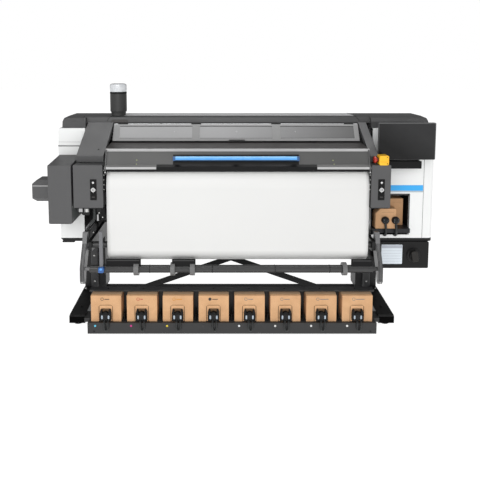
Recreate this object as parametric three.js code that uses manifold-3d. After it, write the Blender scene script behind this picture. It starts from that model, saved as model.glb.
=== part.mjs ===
// A wide-format roll-to-roll printer on its stand, with a take-up roll and eight boxed ink supplies.
// Millimetres. +Z up, +X to the right of someone facing the machine, -Y towards that person.
// The origin is on the floor, under the middle of the machine's bounding box.
import * as THREE from "three";
import { mergeVertices } from "three/addons/utils/BufferGeometryUtils.js";
import Module from "manifold-3d";

const wasm = await Module();
wasm.setup();

// ---- driving dimensions ----
const GAP = 0.3; // between pieces that touch
const SHEET = 3; // sheet-metal and cover wall
const ROUND = 32; // sides of a round piece

const HALF_SPAN = 1295; // outermost faces, left and right
const STAND_X = -45; // middle of the stand
const FOOT_FRONT = -270;
const FOOT_BACK = 420;
const FOOT_UNDER = 13;
const FOOT_TOP = 85;
const FOOT_WIDTH = 101;
const FOOT_HALF = 990; // stand middle to foot middle
const FOOT_PADS_Y = [-225, 375];
const PAD_RADIUS = 34;
const CROSS_Y = [132, 172];
const CROSS_Z = [36, 76];
const LEG_HALF = 959; // stand middle to leg middle
const LEG_WIDTH = 148;
const LEG_FRONT = 92;
const LEG_BACK = 212;
const LEG_TOP = 560;
const BEAM_TOP = 780;
const BRACE_WIDTH = 41; // flat bar
const BRACE_SLOPE = 0.353;
const BRACE_FRONTS = [120, 126];
const BRACE_THICK = 5.7;
const BRACE_MID_Z = 290;

const BODY_FRONT = -100;
const BODY_BACK = 400;
const BODY_UNDER = 492;
const BODY_TOP = 1250;
const LEFT_OUT = -1180;
const LEFT_IN = -1020;
const LEFT_FLOOR_END = -1085; // the lower cover's floor stops beside the leg
const LEFT_SEAM = 1135;
const RIGHT_IN = 880;
const TRAY_LEFT = -996;
const TRAY_RIGHT = 876;
const COVER_TOP = 1325;

const ARM_LEFT = [-1016, -845];
const ARM_RIGHT = [815, 868];
const ARM_SHEAR = 0.1; // the arms lean inwards as they run back
const ARM_NOSE = -272;

const WINDOW_X = [-819, 789];
const WINDOW_PIVOT = [-60, 1276]; // y, z
const DOOR_X = [-824, 799];
const DOOR_PIVOT = [-302, 1147];
const HANDLE_X = [-405, 361];

const TOWER_LEFT = [-1018, -837];
const TOWER_RIGHT = [806, 925];
const TOWER_FRONT = -340;
const TOWER_BACK = -252;
const TOWER_Z = [787, 1052];
const KEYS_LEFT_X = -895;
const KEYS_RIGHT_X = 868;
const KEY_Z = [945, 900, 855];
const KEY_SIZE = 36;

const WEB_LEFT = -818;
const WEB_RIGHT = 798;
const WEB_Y = -330;
const TAKEUP_Y = -240;
const TAKEUP_Z = 520;
const ROLL_RADIUS = 88;
const CORE_RADIUS = 42;
const ROLLER_Y = 112;
const ROLLER_Z = 1058;
const ROLLER_RADIUS = 22;
const SUPPLY_Y = 315;
const SUPPLY_Z = 670;
const SUPPLY_RADIUS = 84;
const BAR_Y = -322;
const BAR_Z = 394;
const BAR_RADIUS = 24;
const BAR_RINGS = [[-655, -624], [-428, -400], [-306, -276], [640, 668]];
const RING_RADIUS = 40;
const LEVER_X = -852;
const LEVER_TOP = 644;
const KNOB_Z = 404;
const KNOB_HALF = 18;

const CARRIAGE_X = [560, 842];

const SHELF_X = [-934, 842];
const SHELF_FRONT = -404;
const SHELF_BACK = -286;
const SHELF_FLOOR = 84;
const RAIL_Z = 262;
const BOX_COUNT = 8;
const BOX_PITCH = 221;
const BOX_FIRST = -914.5;
const BOX_SIZE = [186, 96, 165];
const BOX_FRONT = -386;

const SIDE_BOX_X = [-1174, -1031];
const SIDE_BOX_Z = [687, 1050];
const ESTOP_X = [850, 908];
const ESTOP_Y = [-346, -290];
const ESTOP_TOP = 1112;
const BUTTON_AT = [850, -318, 1083];
const BEACON_X = -800;
const BEACON_LENS_FROM = 1484;
const BEACON_TOP = 1539;

const DISPLAY_X = [873, 1230];
const DISPLAY_Y = [-250, -226];
const DISPLAY_Z = [1069, 1302];

const ELECTRICAL_X = [952, 1269];
const ELECTRICAL_UNDER = 310;
const SWITCH_AT = [1168, 400]; // x, z

const BAY_X = [885, 1128];
const BAY_Z = [537, 805];
const BAY_BACK = 60;
const BAY_SHELF = 588;

// ---- colours ----
const GREY = 0x58585a;
const DARK = 0x2c2d2f;
const BLACK = 0x141415;
const WHITE = 0xeeefef;
const STEEL = 0x8b8d90;
const BLUE = 0x2f86d8;
const CARD = 0xe0b48c;
const PAPER = 0xf4f4f2;
const YELLOW = 0xf2b21c;
const RED = 0xd8402c;

const group = new THREE.Group();

// ---- shape helpers ----
const outline = (points) => new THREE.Shape(points.map(([u, v]) => new THREE.Vector2(u, v)));

function extruded(points, length, ...basis) {
  const g = new THREE.ExtrudeGeometry(outline(points), { depth: length, bevelEnabled: false });
  return g.applyMatrix4(new THREE.Matrix4().set(...basis));
}

// An outline in Y and Z, run from x0 to x1.
function prismX(points, x0, x1) {
  return extruded(points, x1 - x0, 0, 0, 1, x0, 1, 0, 0, 0, 0, 1, 0, 0, 0, 0, 0, 1);
}

// An outline in X and Z, run from y0 to y1.
function prismY(points, y0, y1) {
  return extruded(points, y1 - y0, 1, 0, 0, 0, 0, 0, -1, y1, 0, 1, 0, 0, 0, 0, 0, 1);
}

function block(x0, x1, y0, y1, z0, z1) {
  return new THREE.BoxGeometry(x1 - x0, y1 - y0, z1 - z0)
    .translate((x0 + x1) / 2, (y0 + y1) / 2, (z0 + z1) / 2);
}

// A block whose four edges along Y are cut back by c.
function chamferedBlock(x0, x1, y0, y1, z0, z1, c) {
  const corners = [
    [x0 + c, z0], [x1 - c, z0], [x1, z0 + c], [x1, z1 - c],
    [x1 - c, z1], [x0 + c, z1], [x0, z1 - c], [x0, z0 + c],
  ];
  return prismY(corners, y0, y1);
}

function rodX(r, x0, x1, y, z, sides = ROUND) {
  return new THREE.CylinderGeometry(r, r, x1 - x0, sides).rotateZ(Math.PI / 2)
    .translate((x0 + x1) / 2, y, z);
}

function rodY(r, y0, y1, x, z, sides = ROUND) {
  return new THREE.CylinderGeometry(r, r, y1 - y0, sides).translate(x, (y0 + y1) / 2, z);
}

// A profile of [radius, height] turned about Z and moved to x, y.
function turned(profile, x, y, sides = ROUND) {
  return new THREE.LatheGeometry(profile.map(([r, h]) => new THREE.Vector2(r, h)), sides)
    .rotateX(Math.PI / 2).translate(x, y, 0);
}

// The closed outline of a bent sheet: the line of points, thickened to its left by t.
function strip(points, t) {
  const normal = (a, b) => {
    const d = Math.hypot(b[0] - a[0], b[1] - a[1]);
    return [(a[1] - b[1]) / d, (b[0] - a[0]) / d];
  };
  const inner = points.map((p, i) => {
    const before = i > 0 ? normal(points[i - 1], p) : normal(p, points[1]);
    const after = i < points.length - 1 ? normal(p, points[i + 1]) : before;
    const sum = [before[0] + after[0], before[1] + after[1]];
    const k = (2 * t) / (sum[0] ** 2 + sum[1] ** 2);
    return [p[0] + sum[0] * k, p[1] + sum[1] * k];
  });
  return [...points, ...inner.reverse()];
}

// Points of an arc about (cu, cv), angles in degrees from the outline's first axis.
function arc(cu, cv, r, from, to, steps) {
  return Array.from({ length: steps + 1 }, (_, i) => {
    const a = THREE.MathUtils.degToRad(from + ((to - from) * i) / steps);
    return [cu + r * Math.cos(a), cv + r * Math.sin(a)];
  });
}

// ---- joining and cutting ----
function toSolid(geometry) {
  const g = geometry.clone();
  g.deleteAttribute("normal");
  g.deleteAttribute("uv");
  const merged = mergeVertices(g, 1e-3);
  return new wasm.Manifold(new wasm.Mesh({
    numProp: 3,
    vertProperties: new Float32Array(merged.attributes.position.array),
    triVerts: new Uint32Array(merged.index.array),
  }));
}

function toGeometry(solid) {
  const mesh = solid.getMesh();
  const g = new THREE.BufferGeometry();
  g.setAttribute("position", new THREE.BufferAttribute(mesh.vertProperties, 3));
  g.setIndex(new THREE.BufferAttribute(mesh.triVerts, 1));
  const flat = g.toNonIndexed();
  flat.computeVertexNormals();
  return flat;
}

const join = (...parts) => toGeometry(parts.map(toSolid).reduce((a, b) => a.add(b)));
const cut = (base, ...tools) => toGeometry(
  tools.map(toSolid).reduce((a, b) => a.subtract(b), toSolid(base)),
);
const common = (a, b) => toGeometry(toSolid(a).intersect(toSolid(b)));

function piece(name, geometry, color, roughness = 0.55, metalness = 0) {
  const material = new THREE.MeshStandardMaterial({ color, roughness, metalness });
  const mesh = new THREE.Mesh(geometry, material);
  mesh.name = name;
  group.add(mesh);
}

// ---- stand ----
const sides = [["left", -1], ["right", 1]];

function foot(side) {
  const x = STAND_X + side * FOOT_HALF;
  const profile = [
    [FOOT_BACK, FOOT_UNDER], [FOOT_BACK, 62], [LEG_BACK + 4, FOOT_TOP], [LEG_FRONT - 4, FOOT_TOP],
    [FOOT_FRONT + 10, 64], [FOOT_FRONT, 56], [FOOT_FRONT, FOOT_UNDER],
  ];
  const half = FOOT_WIDTH / 2;
  const shell = prismX(profile.reverse(), x - half, x + half);
  const inside = block(x - half + SHEET, x + half - SHEET, FOOT_FRONT + SHEET, FOOT_BACK - SHEET, 0, 50);
  const pads = FOOT_PADS_Y.map((y) => block(x - half + 1, x + half - 1, y - 30, y + 30, FOOT_UNDER, 51));
  return join(cut(shell, inside), ...pads);
}

function levellingFoot(x, y) {
  const top = FOOT_UNDER - GAP;
  return turned([[0, 0], [PAD_RADIUS, 0], [PAD_RADIUS, 6], [15, 9], [15, top], [0, top]], x, y, 24);
}

// A leg is a square tube with an arm forward that carries the take-up shaft.
function leg(side) {
  const x = STAND_X + side * LEG_HALF;
  const [x0, x1] = [x - LEG_WIDTH / 2, x + LEG_WIDTH / 2];
  const z0 = FOOT_TOP + GAP;
  const tube = cut(
    block(x0, x1, LEG_FRONT, LEG_BACK, z0, LEG_TOP),
    block(x0 + SHEET, x1 - SHEET, LEG_FRONT + SHEET, LEG_BACK - SHEET, z0 - 1, LEG_TOP + 1),
  );
  const inner = side < 0 ? x1 : x0;
  const armProfile = [
    [TAKEUP_Y - 34, TAKEUP_Z - 26], [TAKEUP_Y - 20, TAKEUP_Z - 34], [LEG_FRONT + 2, TAKEUP_Z - 60],
    [LEG_FRONT + 2, TAKEUP_Z + 38], [TAKEUP_Y - 20, TAKEUP_Z + 34], [TAKEUP_Y - 34, TAKEUP_Z + 26],
  ];
  const arm = side < 0 ? prismX(armProfile, inner - 22, inner) : prismX(armProfile, inner, inner + 22);
  return join(tube, arm);
}

function crossTube() {
  const half = FOOT_HALF - FOOT_WIDTH / 2 - GAP;
  const [[y0, y1], [z0, z1]] = [CROSS_Y, CROSS_Z];
  const bore = [y0 + SHEET, y1 - SHEET, z0 + SHEET, z1 - SHEET];
  return cut(
    block(STAND_X - half, STAND_X + half, y0, y1, z0, z1),
    block(STAND_X - half - 1, STAND_X + half + 1, ...bore),
  );
}

// A flat bar from the cross tube's front face up to the beam, through the middle of the stand.
function brace(side, y0) {
  const drop = BRACE_WIDTH / 2 / Math.cos(Math.atan(BRACE_SLOPE));
  const along = (dx, dz) => [STAND_X + side * dx, BRACE_MID_Z + BRACE_SLOPE * dx + dz];
  const low = -710;
  const high = (LEG_TOP - GAP - BRACE_MID_Z - drop) / BRACE_SLOPE;
  const points = [along(low, -drop), along(high, -drop), along(high, drop), along(low, drop)];
  return prismY(side > 0 ? points : points.reverse(), y0, y0 + BRACE_THICK);
}

function chassisBeam() {
  const half = LEG_HALF + LEG_WIDTH / 2;
  const [x0, x1] = [STAND_X - half, STAND_X + half];
  const [z0, z1] = [LEG_TOP + GAP, BEAM_TOP - GAP];
  const tube = cut(
    block(x0, x1, LEG_FRONT, LEG_BACK, z0, z1),
    block(x0 - 1, x1 + 1, LEG_FRONT + 4, LEG_BACK - 4, z0 + 4, z1 - 4),
  );
  const hanger = [[LEG_BACK - 2, z0 + 40], [SUPPLY_Y + 26, SUPPLY_Z - 26], [SUPPLY_Y + 26, SUPPLY_Z + 26],
    [LEG_BACK - 2, z1 - 10]];
  const hangers = [[-944, -934], [858, 868]].map(([a, b]) => prismX(hanger, a, b));
  return join(tube, ...hangers);
}

// ---- ink shelf and boxes ----
function inkShelf() {
  const line = [[SHELF_FRONT, 15], [SHELF_FRONT, SHELF_FLOOR], [SHELF_BACK, SHELF_FLOOR],
    [SHELF_BACK, RAIL_Z], [SHELF_BACK - 48, RAIL_Z], [SHELF_BACK - 48, RAIL_Z - 11]];
  const folded = join(
    prismX(strip(line.slice(0, 3).reverse(), SHEET), ...SHELF_X),
    prismX(strip([[SHELF_BACK, 30], ...line.slice(3)], SHEET), ...SHELF_X),
  );
  const reach = FOOT_HALF - FOOT_WIDTH / 2 - GAP;
  const tabs = sides.map(([, side]) => {
    const end = STAND_X + side * reach;
    const [a, b] = side < 0 ? [end, SHELF_X[0] + 60] : [SHELF_X[1] - 60, end];
    return block(a, b, SHELF_BACK - SHEET, SHELF_BACK + 90, 30, 56);
  });
  return join(folded, ...tabs);
}

const boxLeft = (i) => BOX_FIRST + i * BOX_PITCH;

// A carton with its outlet fitting plugged in, and the fitting's hose looping down in front of the shelf.
function inkBox(i) {
  const x = boxLeft(i);
  const [w, d, h] = BOX_SIZE;
  const z = SHELF_FLOOR + GAP;
  const carton = block(x, x + w, BOX_FRONT, BOX_FRONT + d, z, z + h);
  const middle = x + 92;
  const fitting = block(middle - 30, middle + 30, BOX_FRONT - 22, BOX_FRONT + 2, 96, 172);
  const hose = block(middle - 8, middle + 20, -420, SHELF_FRONT - 1, 34, 100);
  return join(carton, fitting, hose);
}

// ---- engine tray and what it carries ----
function engineTray() {
  const floor = BEAM_TOP;
  const back = BODY_BACK - 2;
  const sheetLine = [[-250, 1040], [BODY_FRONT, floor], [back, floor], [back, BODY_TOP - 2]];
  const sheet = prismX(strip(sheetLine, SHEET), TRAY_LEFT, TRAY_RIGHT);
  const endProfile = [[-247, 1038], [BODY_FRONT + 1, floor + 1], [back - 1, floor + 1],
    [back - 1, BODY_TOP - 4], [-20, BODY_TOP - 4], [-247, 1049]];
  const ends = [
    prismX(endProfile, TRAY_LEFT, TRAY_LEFT + 4),
    prismX(endProfile, TRAY_RIGHT - 4, TRAY_RIGHT),
  ];
  return join(sheet, ...ends);
}

const INSIDE = [TRAY_LEFT + 4 + GAP, TRAY_RIGHT - 4 - GAP];

function platen() {
  const [front, back, top] = [-242, 80, 1078];
  const line = [[back, BEAM_TOP + SHEET + GAP], [back, top - 8], [back - 20, top], [front + 16, top],
    [front, top - 8], [front, top - 32]];
  return prismX(strip(line, SHEET), ...INSIDE);
}

function driveRoller() {
  const body = rodX(ROLLER_RADIUS, WEB_LEFT - 12, WEB_RIGHT + 14, ROLLER_Y, ROLLER_Z);
  return join(body, rodX(10, INSIDE[0] + 1, INSIDE[1] - 1, ROLLER_Y, ROLLER_Z, 16));
}

function carriageRail() {
  const line = [[205, 1120], [160, 1120], [160, 1200], [205, 1200]];
  return prismX(strip(line.reverse(), 4), ...INSIDE);
}

function printCarriage() {
  return prismX([[-36, 1086], [150, 1086], [150, 1206], [0, 1206], [-36, 1180]], ...CARRIAGE_X);
}

function supplyRoll() {
  const roll = rodX(SUPPLY_RADIUS, WEB_LEFT, WEB_RIGHT, SUPPLY_Y, SUPPLY_Z, 40);
  return join(roll, rodX(19, -933, 857, SUPPLY_Y, SUPPLY_Z, 24));
}

// ---- covers ----
function leftLowerCover() {
  const z1 = LEFT_SEAM - GAP;
  const box = chamferedBlock(LEFT_OUT, LEFT_IN + 40, BODY_FRONT, BODY_BACK, BODY_UNDER, z1 + 20, 20);
  const [y0, y1] = [BODY_FRONT + SHEET, BODY_BACK - SHEET];
  const inner = block(LEFT_OUT + SHEET, LEFT_IN + 50, y0, y1, BODY_UNDER + 21, z1 + 40);
  const beside = block(LEFT_FLOOR_END, LEFT_IN + 50, y0, y1, 400, z1 + 40);
  const hollow = block(LEFT_OUT + 22, LEFT_FLOOR_END - SHEET, y0, y1, BODY_UNDER + SHEET, BODY_UNDER + 30);
  const trimRight = block(LEFT_IN, LEFT_IN + 60, -400, 500, 400, 1300);
  const trimTop = block(-1300, -900, -400, 500, z1, 1300);
  return cut(box, inner, beside, hollow, trimRight, trimTop);
}

function leftUpperCover() {
  const z1 = BODY_TOP - GAP;
  const box = chamferedBlock(LEFT_OUT, LEFT_IN + 40, BODY_FRONT, BODY_BACK, LEFT_SEAM, z1, 8);
  const [y0, y1] = [BODY_FRONT + SHEET, BODY_BACK - SHEET];
  const inner = block(LEFT_OUT + 8, LEFT_IN + 50, y0, y1, LEFT_SEAM - 1, z1 - 6);
  return cut(box, inner, block(LEFT_IN, LEFT_IN + 60, -400, 500, 1100, 1300));
}

function rightCover() {
  const z1 = BODY_TOP - GAP;
  const plan = (inset) => {
    const x1 = HALF_SPAN - inset;
    const y0 = BODY_FRONT + inset;
    const r = 30 - inset;
    return arc(x1 - r, y0 + r, r, -90, 0, 4);
  };
  const column = (inset, x0, y1, bottom, top) => {
    const corner = plan(inset);
    const points = [[x0, BODY_FRONT + inset], ...corner, [HALF_SPAN - inset, y1], [x0, y1]];
    const up = new THREE.ExtrudeGeometry(outline(points), { depth: top - bottom, bevelEnabled: false });
    return up.translate(0, 0, bottom);
  };
  const outer = column(0, RIGHT_IN, BODY_BACK, BODY_UNDER, z1);
  const inner = column(4, RIGHT_IN - 1, BODY_BACK - 4, BODY_UNDER + 4, z1 - 4);
  const underLeg = block(RIGHT_IN - 1, 996, BODY_FRONT + 6, BODY_BACK - 6, BODY_UNDER - 1, BODY_UNDER + 6);
  const mouth = block(...BAY_X, BODY_FRONT - 2, BODY_FRONT + 6, ...BAY_Z);
  const shell = cut(outer, inner, underLeg, mouth);
  const liner = cut(
    block(BAY_X[0] - 3, BAY_X[1] + 3, BODY_FRONT + 1, BAY_BACK, BAY_Z[0] - 3, BAY_Z[1] + 3),
    block(...BAY_X, BODY_FRONT - 2, BAY_BACK - 3, ...BAY_Z),
  );
  const shelf = block(BAY_X[0] - 1, BAY_X[1] + 1, -138, BAY_BACK - 2, BAY_SHELF - 28, BAY_SHELF);
  const bracket = join(
    block(955, 1141, -212, BODY_FRONT + 2, 1056, 1064),
    block(1010, 1086, -222, -208, 1056, 1118),
  );
  return join(shell, liner, shelf, bracket);
}

function topCover() {
  const [cornerX0, cornerX1] = [-1154, 1247];
  const solid = (t) => {
    const middle = [[-50 + t, 1280], [-50 + t, 1304], [-44 + t, 1318 - t], [-26, COVER_TOP - t],
      [150, COVER_TOP - t], [190, 1319 - t], [BODY_BACK - t, 1262 - t], [BODY_BACK - t, BODY_TOP]];
    const end = [[-90 + t, BODY_TOP], [-90 + t, 1292], [-76 + t, 1314 - t], [-26, COVER_TOP - t],
      ...middle.slice(4)];
    const drop = (points) => [[points[0][0], BODY_TOP - (t ? 5 : 0)], ...points.slice(t ? 0 : 1, -1),
      [BODY_BACK - t, BODY_TOP - (t ? 5 : 0)]];
    const middleRun = t
      ? [[middle[0][0], 1275], ...middle.slice(1, -1), [BODY_BACK - t, BODY_TOP - 5], [-10, BODY_TOP - 5]]
      : [...middle.slice(0, -1), [BODY_BACK, BODY_TOP], [-10, BODY_TOP], [-10, 1280]];
    const runs = [
      prismX(drop(end).reverse(), cornerX0, -1020 - t),
      prismX(middleRun.reverse(), -1021 - t, 873 + t),
      prismX(drop(end).reverse(), 872 + t, cornerX1),
    ];
    const face = [[cornerX0 + t, BODY_TOP - 10], [cornerX1 - t, BODY_TOP - 10], [cornerX1 - 3 - t, 1296],
      [cornerX1 - 10 - t, 1314], [cornerX1 - 30, COVER_TOP - t / 2], [cornerX0 + 30, COVER_TOP - t / 2],
      [cornerX0 + 10 + t, 1314], [cornerX0 + 3 + t, 1296]];
    return common(join(...runs), prismY(face, -200, 500));
  };
  return cut(solid(0), solid(4));
}

function arm(x, side) {
  const top = [[ARM_NOSE, 1096], [-258, 1110], [-54, 1284]];
  const profile = [[ARM_NOSE, 1058], ...top, [-54, 1246], [-243, 1088], [-247, 1058]];
  const shape = prismX(profile.reverse(), ...x);
  const lean = new THREE.Matrix4().set(1, -side * ARM_SHEAR, 0, -side * ARM_SHEAR * -ARM_NOSE,
    0, 1, 0, 0, 0, 0, 1, 0, 0, 0, 0, 1);
  return shape.applyMatrix4(lean);
}

function frontLedge() {
  const line = [[-126, 1126], [-126, 1156], [-290, 1142], [-290, 1126]];
  return prismX(strip(line.reverse(), SHEET), -828, 799);
}

function printWindow() {
  const [y, z] = WINDOW_PIVOT;
  const panel = prismX([[y - 4, z - 4], [-122, 1168], [-113, 1163], [y + 5, z - 9]], ...WINDOW_X);
  return join(panel, rodX(5, ...WINDOW_X, y, z - 4.5, 12));
}

function frontDoor() {
  const [y, z] = DOOR_PIVOT;
  const line = [[y, z - 3], [-308, 1138], [-336, 1056], [-352, 1044], [-352, 1030], [-318, 1030]];
  const panel = prismX(strip(line, 5), ...DOOR_X);
  const studs = [-380, -22, 336].map((x) => block(x - 14, x + 14, -349.5, -322, 1086, 1106));
  return join(panel, ...studs);
}

function doorHandle() {
  const section = [[-350, 1080], [-350, 1112], [-364, 1112], [-371, 1105], [-371, 1087], [-364, 1080]];
  return prismX(section, ...HANDLE_X);
}

// ---- control towers, keys, display and safety gear ----
function tower(x, keysX) {
  const shell = cut(
    chamferedBlock(x[0], x[1], TOWER_FRONT, TOWER_BACK, ...TOWER_Z, 4),
    block(x[0] + 5, x[1] - 5, TOWER_FRONT + 5, TOWER_BACK + 1, TOWER_Z[0] + 5, TOWER_Z[1] - 5),
  );
  const half = KEY_SIZE / 2 + 1;
  const [x0, x1] = [keysX - half, keysX + half];
  const holes = KEY_Z.map((z) => block(x0, x1, TOWER_FRONT - 1, TOWER_FRONT + 6, z - half, z + half));
  return cut(shell, ...holes);
}

function towerKey(x, z, round) {
  const y0 = TOWER_FRONT - 5;
  const half = KEY_SIZE / 2;
  return round
    ? rodY(half, y0, TOWER_FRONT + 12, x, z, 24)
    : chamferedBlock(x - half, x + half, y0, TOWER_FRONT + 12, z - half, z + half, 3);
}

function sideBox() {
  const [x0, x1] = SIDE_BOX_X;
  const back = BODY_FRONT - GAP;
  const [low, high] = SIDE_BOX_Z;
  const profile = [[TOWER_FRONT, low], [back, low], [back, high + 25], [TOWER_FRONT, high]];
  const hollow = block(x0 + 5, x1 - 5, TOWER_FRONT + 5, back + 1, low + 5, high - 6);
  const shell = cut(prismX(profile, x0, x1), hollow);
  const capProfile = [[-276, 830], [-252, 805], [-148, 805], [-124, 830], [-124, 917], [-148, 942],
    [-252, 942], [-276, 917]];
  const nose = [[-HALF_SPAN, 826], [-HALF_SPAN + 22, 805], [x0 + 2, 805], [x0 + 2, 942],
    [-HALF_SPAN + 22, 942], [-HALF_SPAN, 921]];
  const cap = common(prismX(capProfile, -HALF_SPAN, x0 + 2), prismY(nose, -300, -100));
  return join(shell, cap);
}

function controlDisplay() {
  const [x0, x1] = DISPLAY_X;
  return chamferedBlock(x0, x1, ...DISPLAY_Y, ...DISPLAY_Z, 8);
}

function estopBox() {
  const [x, y, z] = BUTTON_AT;
  return cut(
    chamferedBlock(...ESTOP_X, ...ESTOP_Y, TOWER_Z[1] + GAP, ESTOP_TOP, 6),
    rodX(14.5, x - 10, x + 18, y, z, 24),
  );
}

function estopButton() {
  const profile = [[0, -9], [13, -9], [13, 14], [22, 16], [22, 22], [18, 27], [0, 29]];
  const g = new THREE.LatheGeometry(profile.map(([r, h]) => new THREE.Vector2(r, h)), 24);
  return g.rotateZ(Math.PI / 2).translate(...BUTTON_AT);
}

function beaconBody() {
  const foot = COVER_TOP + GAP;
  const profile = [[0, foot], [46, foot], [46, 1334], [49, 1346], [55, 1356], [55, BEACON_LENS_FROM],
    [0, BEACON_LENS_FROM]];
  return turned(profile, BEACON_X, 0);
}

function beaconLens() {
  const foot = BEACON_LENS_FROM + GAP;
  const profile = [[0, foot], [54, foot], [54, BEACON_TOP - 11], [48, BEACON_TOP - 3], [24, BEACON_TOP],
    [0, BEACON_TOP]];
  return turned(profile, BEACON_X, 0);
}

// ---- electrical box and the service bay's cartridges ----
function electricalBox() {
  const back = LEG_FRONT - 7;
  const [x0, x1] = ELECTRICAL_X;
  const front = BODY_FRONT - 10;
  return cut(
    chamferedBlock(x0, x1, front, back, ELECTRICAL_UNDER, BODY_UNDER - GAP, 5),
    block(x0 + 6, x1 - 6, front + 6, back - 6, ELECTRICAL_UNDER + 6, BODY_UNDER + 1),
  );
}

function powerSwitch() {
  const y = BODY_FRONT - 10 - GAP;
  const [x, z] = SWITCH_AT;
  const plate = rodY(46, y - 8, y, x, z);
  const grip = block(x - 10, x + 10, y - 34, y - 19, z - 28, z + 28);
  return join(plate, rodY(30, y - 20, y - 7, x, z), grip);
}

function frontCartridge() {
  const z = BAY_SHELF + GAP;
  return prismY([[902, z], [1036, z], [1036, 722], [932, 722], [902, 692]], -134, -66);
}

function rearCartridge() {
  const z = BAY_SHELF + GAP;
  return prismY([[1000, z], [1108, z], [1108, 770], [1024, 770], [1000, 746]], -58, 50);
}

// ---- take-up ----
function takeupSpindle() {
  const shaft = rodX(20, -929.5, 839.5, TAKEUP_Y, TAKEUP_Z, 24);
  const hubs = [[WEB_LEFT - 14, WEB_LEFT + 60], [WEB_RIGHT - 60, WEB_RIGHT + 8]]
    .map(([a, b]) => rodX(CORE_RADIUS - GAP, a, b, TAKEUP_Y, TAKEUP_Z));
  return join(shaft, ...hubs);
}

function takeupRoll() {
  return cut(
    rodX(ROLL_RADIUS, WEB_LEFT, WEB_RIGHT, TAKEUP_Y, TAKEUP_Z, 48),
    rodX(CORE_RADIUS, WEB_LEFT - 1, WEB_RIGHT + 1, TAKEUP_Y, TAKEUP_Z),
  );
}

// The printed web: over the front of the platen, down behind the door's lip and round the take-up roll.
function mediaWeb() {
  const wrap = arc(TAKEUP_Y, TAKEUP_Z, TAKEUP_Y - WEB_Y, 180, 300, 14);
  const line = [[-262, 1050], [-300, 1010], [-322, 960], [WEB_Y, 900], ...wrap];
  return prismX(strip(line, 1.6), WEB_LEFT, WEB_RIGHT);
}

// Two swing arms that hang from the shaft's line, joined by the bar that the web's loop can rest on.
function tensionBar() {
  const hang = [[TAKEUP_Y - 18, TAKEUP_Z + 86], [TAKEUP_Y + 16, TAKEUP_Z + 80],
    [TAKEUP_Y + 18, TAKEUP_Z - 30], [BAR_Y + 24, BAR_Z - 44], [BAR_Y + 14, BAR_Z - 88],
    [BAR_Y - 10, BAR_Z - 94], [BAR_Y - 24, BAR_Z - 74],
    [BAR_Y - 22, BAR_Z + 12], [TAKEUP_Y - 34, TAKEUP_Z + 20]];
  const arms = [[-990, -962], [863, 891]].map(([a, b]) => prismX(hang, a, b));
  const pivots = [[-990, -952.5], [862.5, 891]].map(([a, b]) => rodX(15, a, b, TAKEUP_Y, TAKEUP_Z, 16));
  const shaft = rodX(12, -988, 888, BAR_Y, BAR_Z, 16);
  const tube = rodX(BAR_RADIUS, -930, 830, BAR_Y, BAR_Z, 24);
  const rings = BAR_RINGS.map(([a, b]) => rodX(RING_RADIUS, a, b, BAR_Y, BAR_Z, 20));
  return join(...arms, ...pivots, shaft, tube, ...rings);
}

function lockLever() {
  const y = BAR_Y - BAR_RADIUS - 2;
  const [low, high] = [KNOB_Z - KNOB_HALF, KNOB_Z + KNOB_HALF];
  const stem = block(LEVER_X - 12, LEVER_X + 12, y - 14, y, low + 1, LEVER_TOP);
  const knob = chamferedBlock(LEVER_X - KNOB_HALF, LEVER_X + KNOB_HALF, y - 26, y, low, high, 6);
  return join(stem, knob);
}

// ---- the assembly ----
for (const [name, side] of sides) {
  piece(`${name}_foot`, foot(side), BLACK, 0.5, 0.4);
  piece(`${name}_leg`, leg(side), GREY, 0.5, 0.3);
  const x = STAND_X + side * FOOT_HALF;
  FOOT_PADS_Y.forEach((y, i) => {
    piece(`${name}_${i ? "rear" : "front"}_levelling_foot`, levellingFoot(x, y), DARK, 0.8);
  });
}
piece("lower_cross_tube", crossTube(), DARK, 0.5, 0.4);
piece("rising_brace", brace(1, BRACE_FRONTS[0]), DARK, 0.5, 0.4);
piece("falling_brace", brace(-1, BRACE_FRONTS[1]), DARK, 0.5, 0.4);
piece("chassis_beam", chassisBeam(), DARK, 0.5, 0.4);

piece("ink_shelf", inkShelf(), DARK, 0.5, 0.3);
for (let i = 0; i < BOX_COUNT; i += 1) piece(`ink_box_${i + 1}`, inkBox(i), CARD, 0.9);

piece("engine_tray", engineTray(), DARK, 0.5, 0.3);
piece("platen", platen(), STEEL, 0.35, 0.8);
piece("drive_roller", driveRoller(), BLACK, 0.8);
piece("carriage_rail", carriageRail(), STEEL, 0.35, 0.8);
piece("print_carriage", printCarriage(), BLACK, 0.5);
piece("supply_roll", supplyRoll(), PAPER, 0.6);

piece("left_lower_cover", leftLowerCover(), WHITE, 0.4);
piece("left_upper_cover", leftUpperCover(), WHITE, 0.4);
piece("right_cover", rightCover(), WHITE, 0.4);
piece("top_cover", topCover(), GREY, 0.45);
piece("left_arm_cover", arm(ARM_LEFT, -1), GREY, 0.45);
piece("right_arm_cover", arm(ARM_RIGHT, 1), GREY, 0.45);
piece("front_ledge", frontLedge(), DARK, 0.4);
piece("print_window", printWindow(), 0x9a9b9c, 0.3);
piece("front_door", frontDoor(), GREY, 0.4);
piece("door_handle", doorHandle(), BLUE, 0.4);

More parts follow.
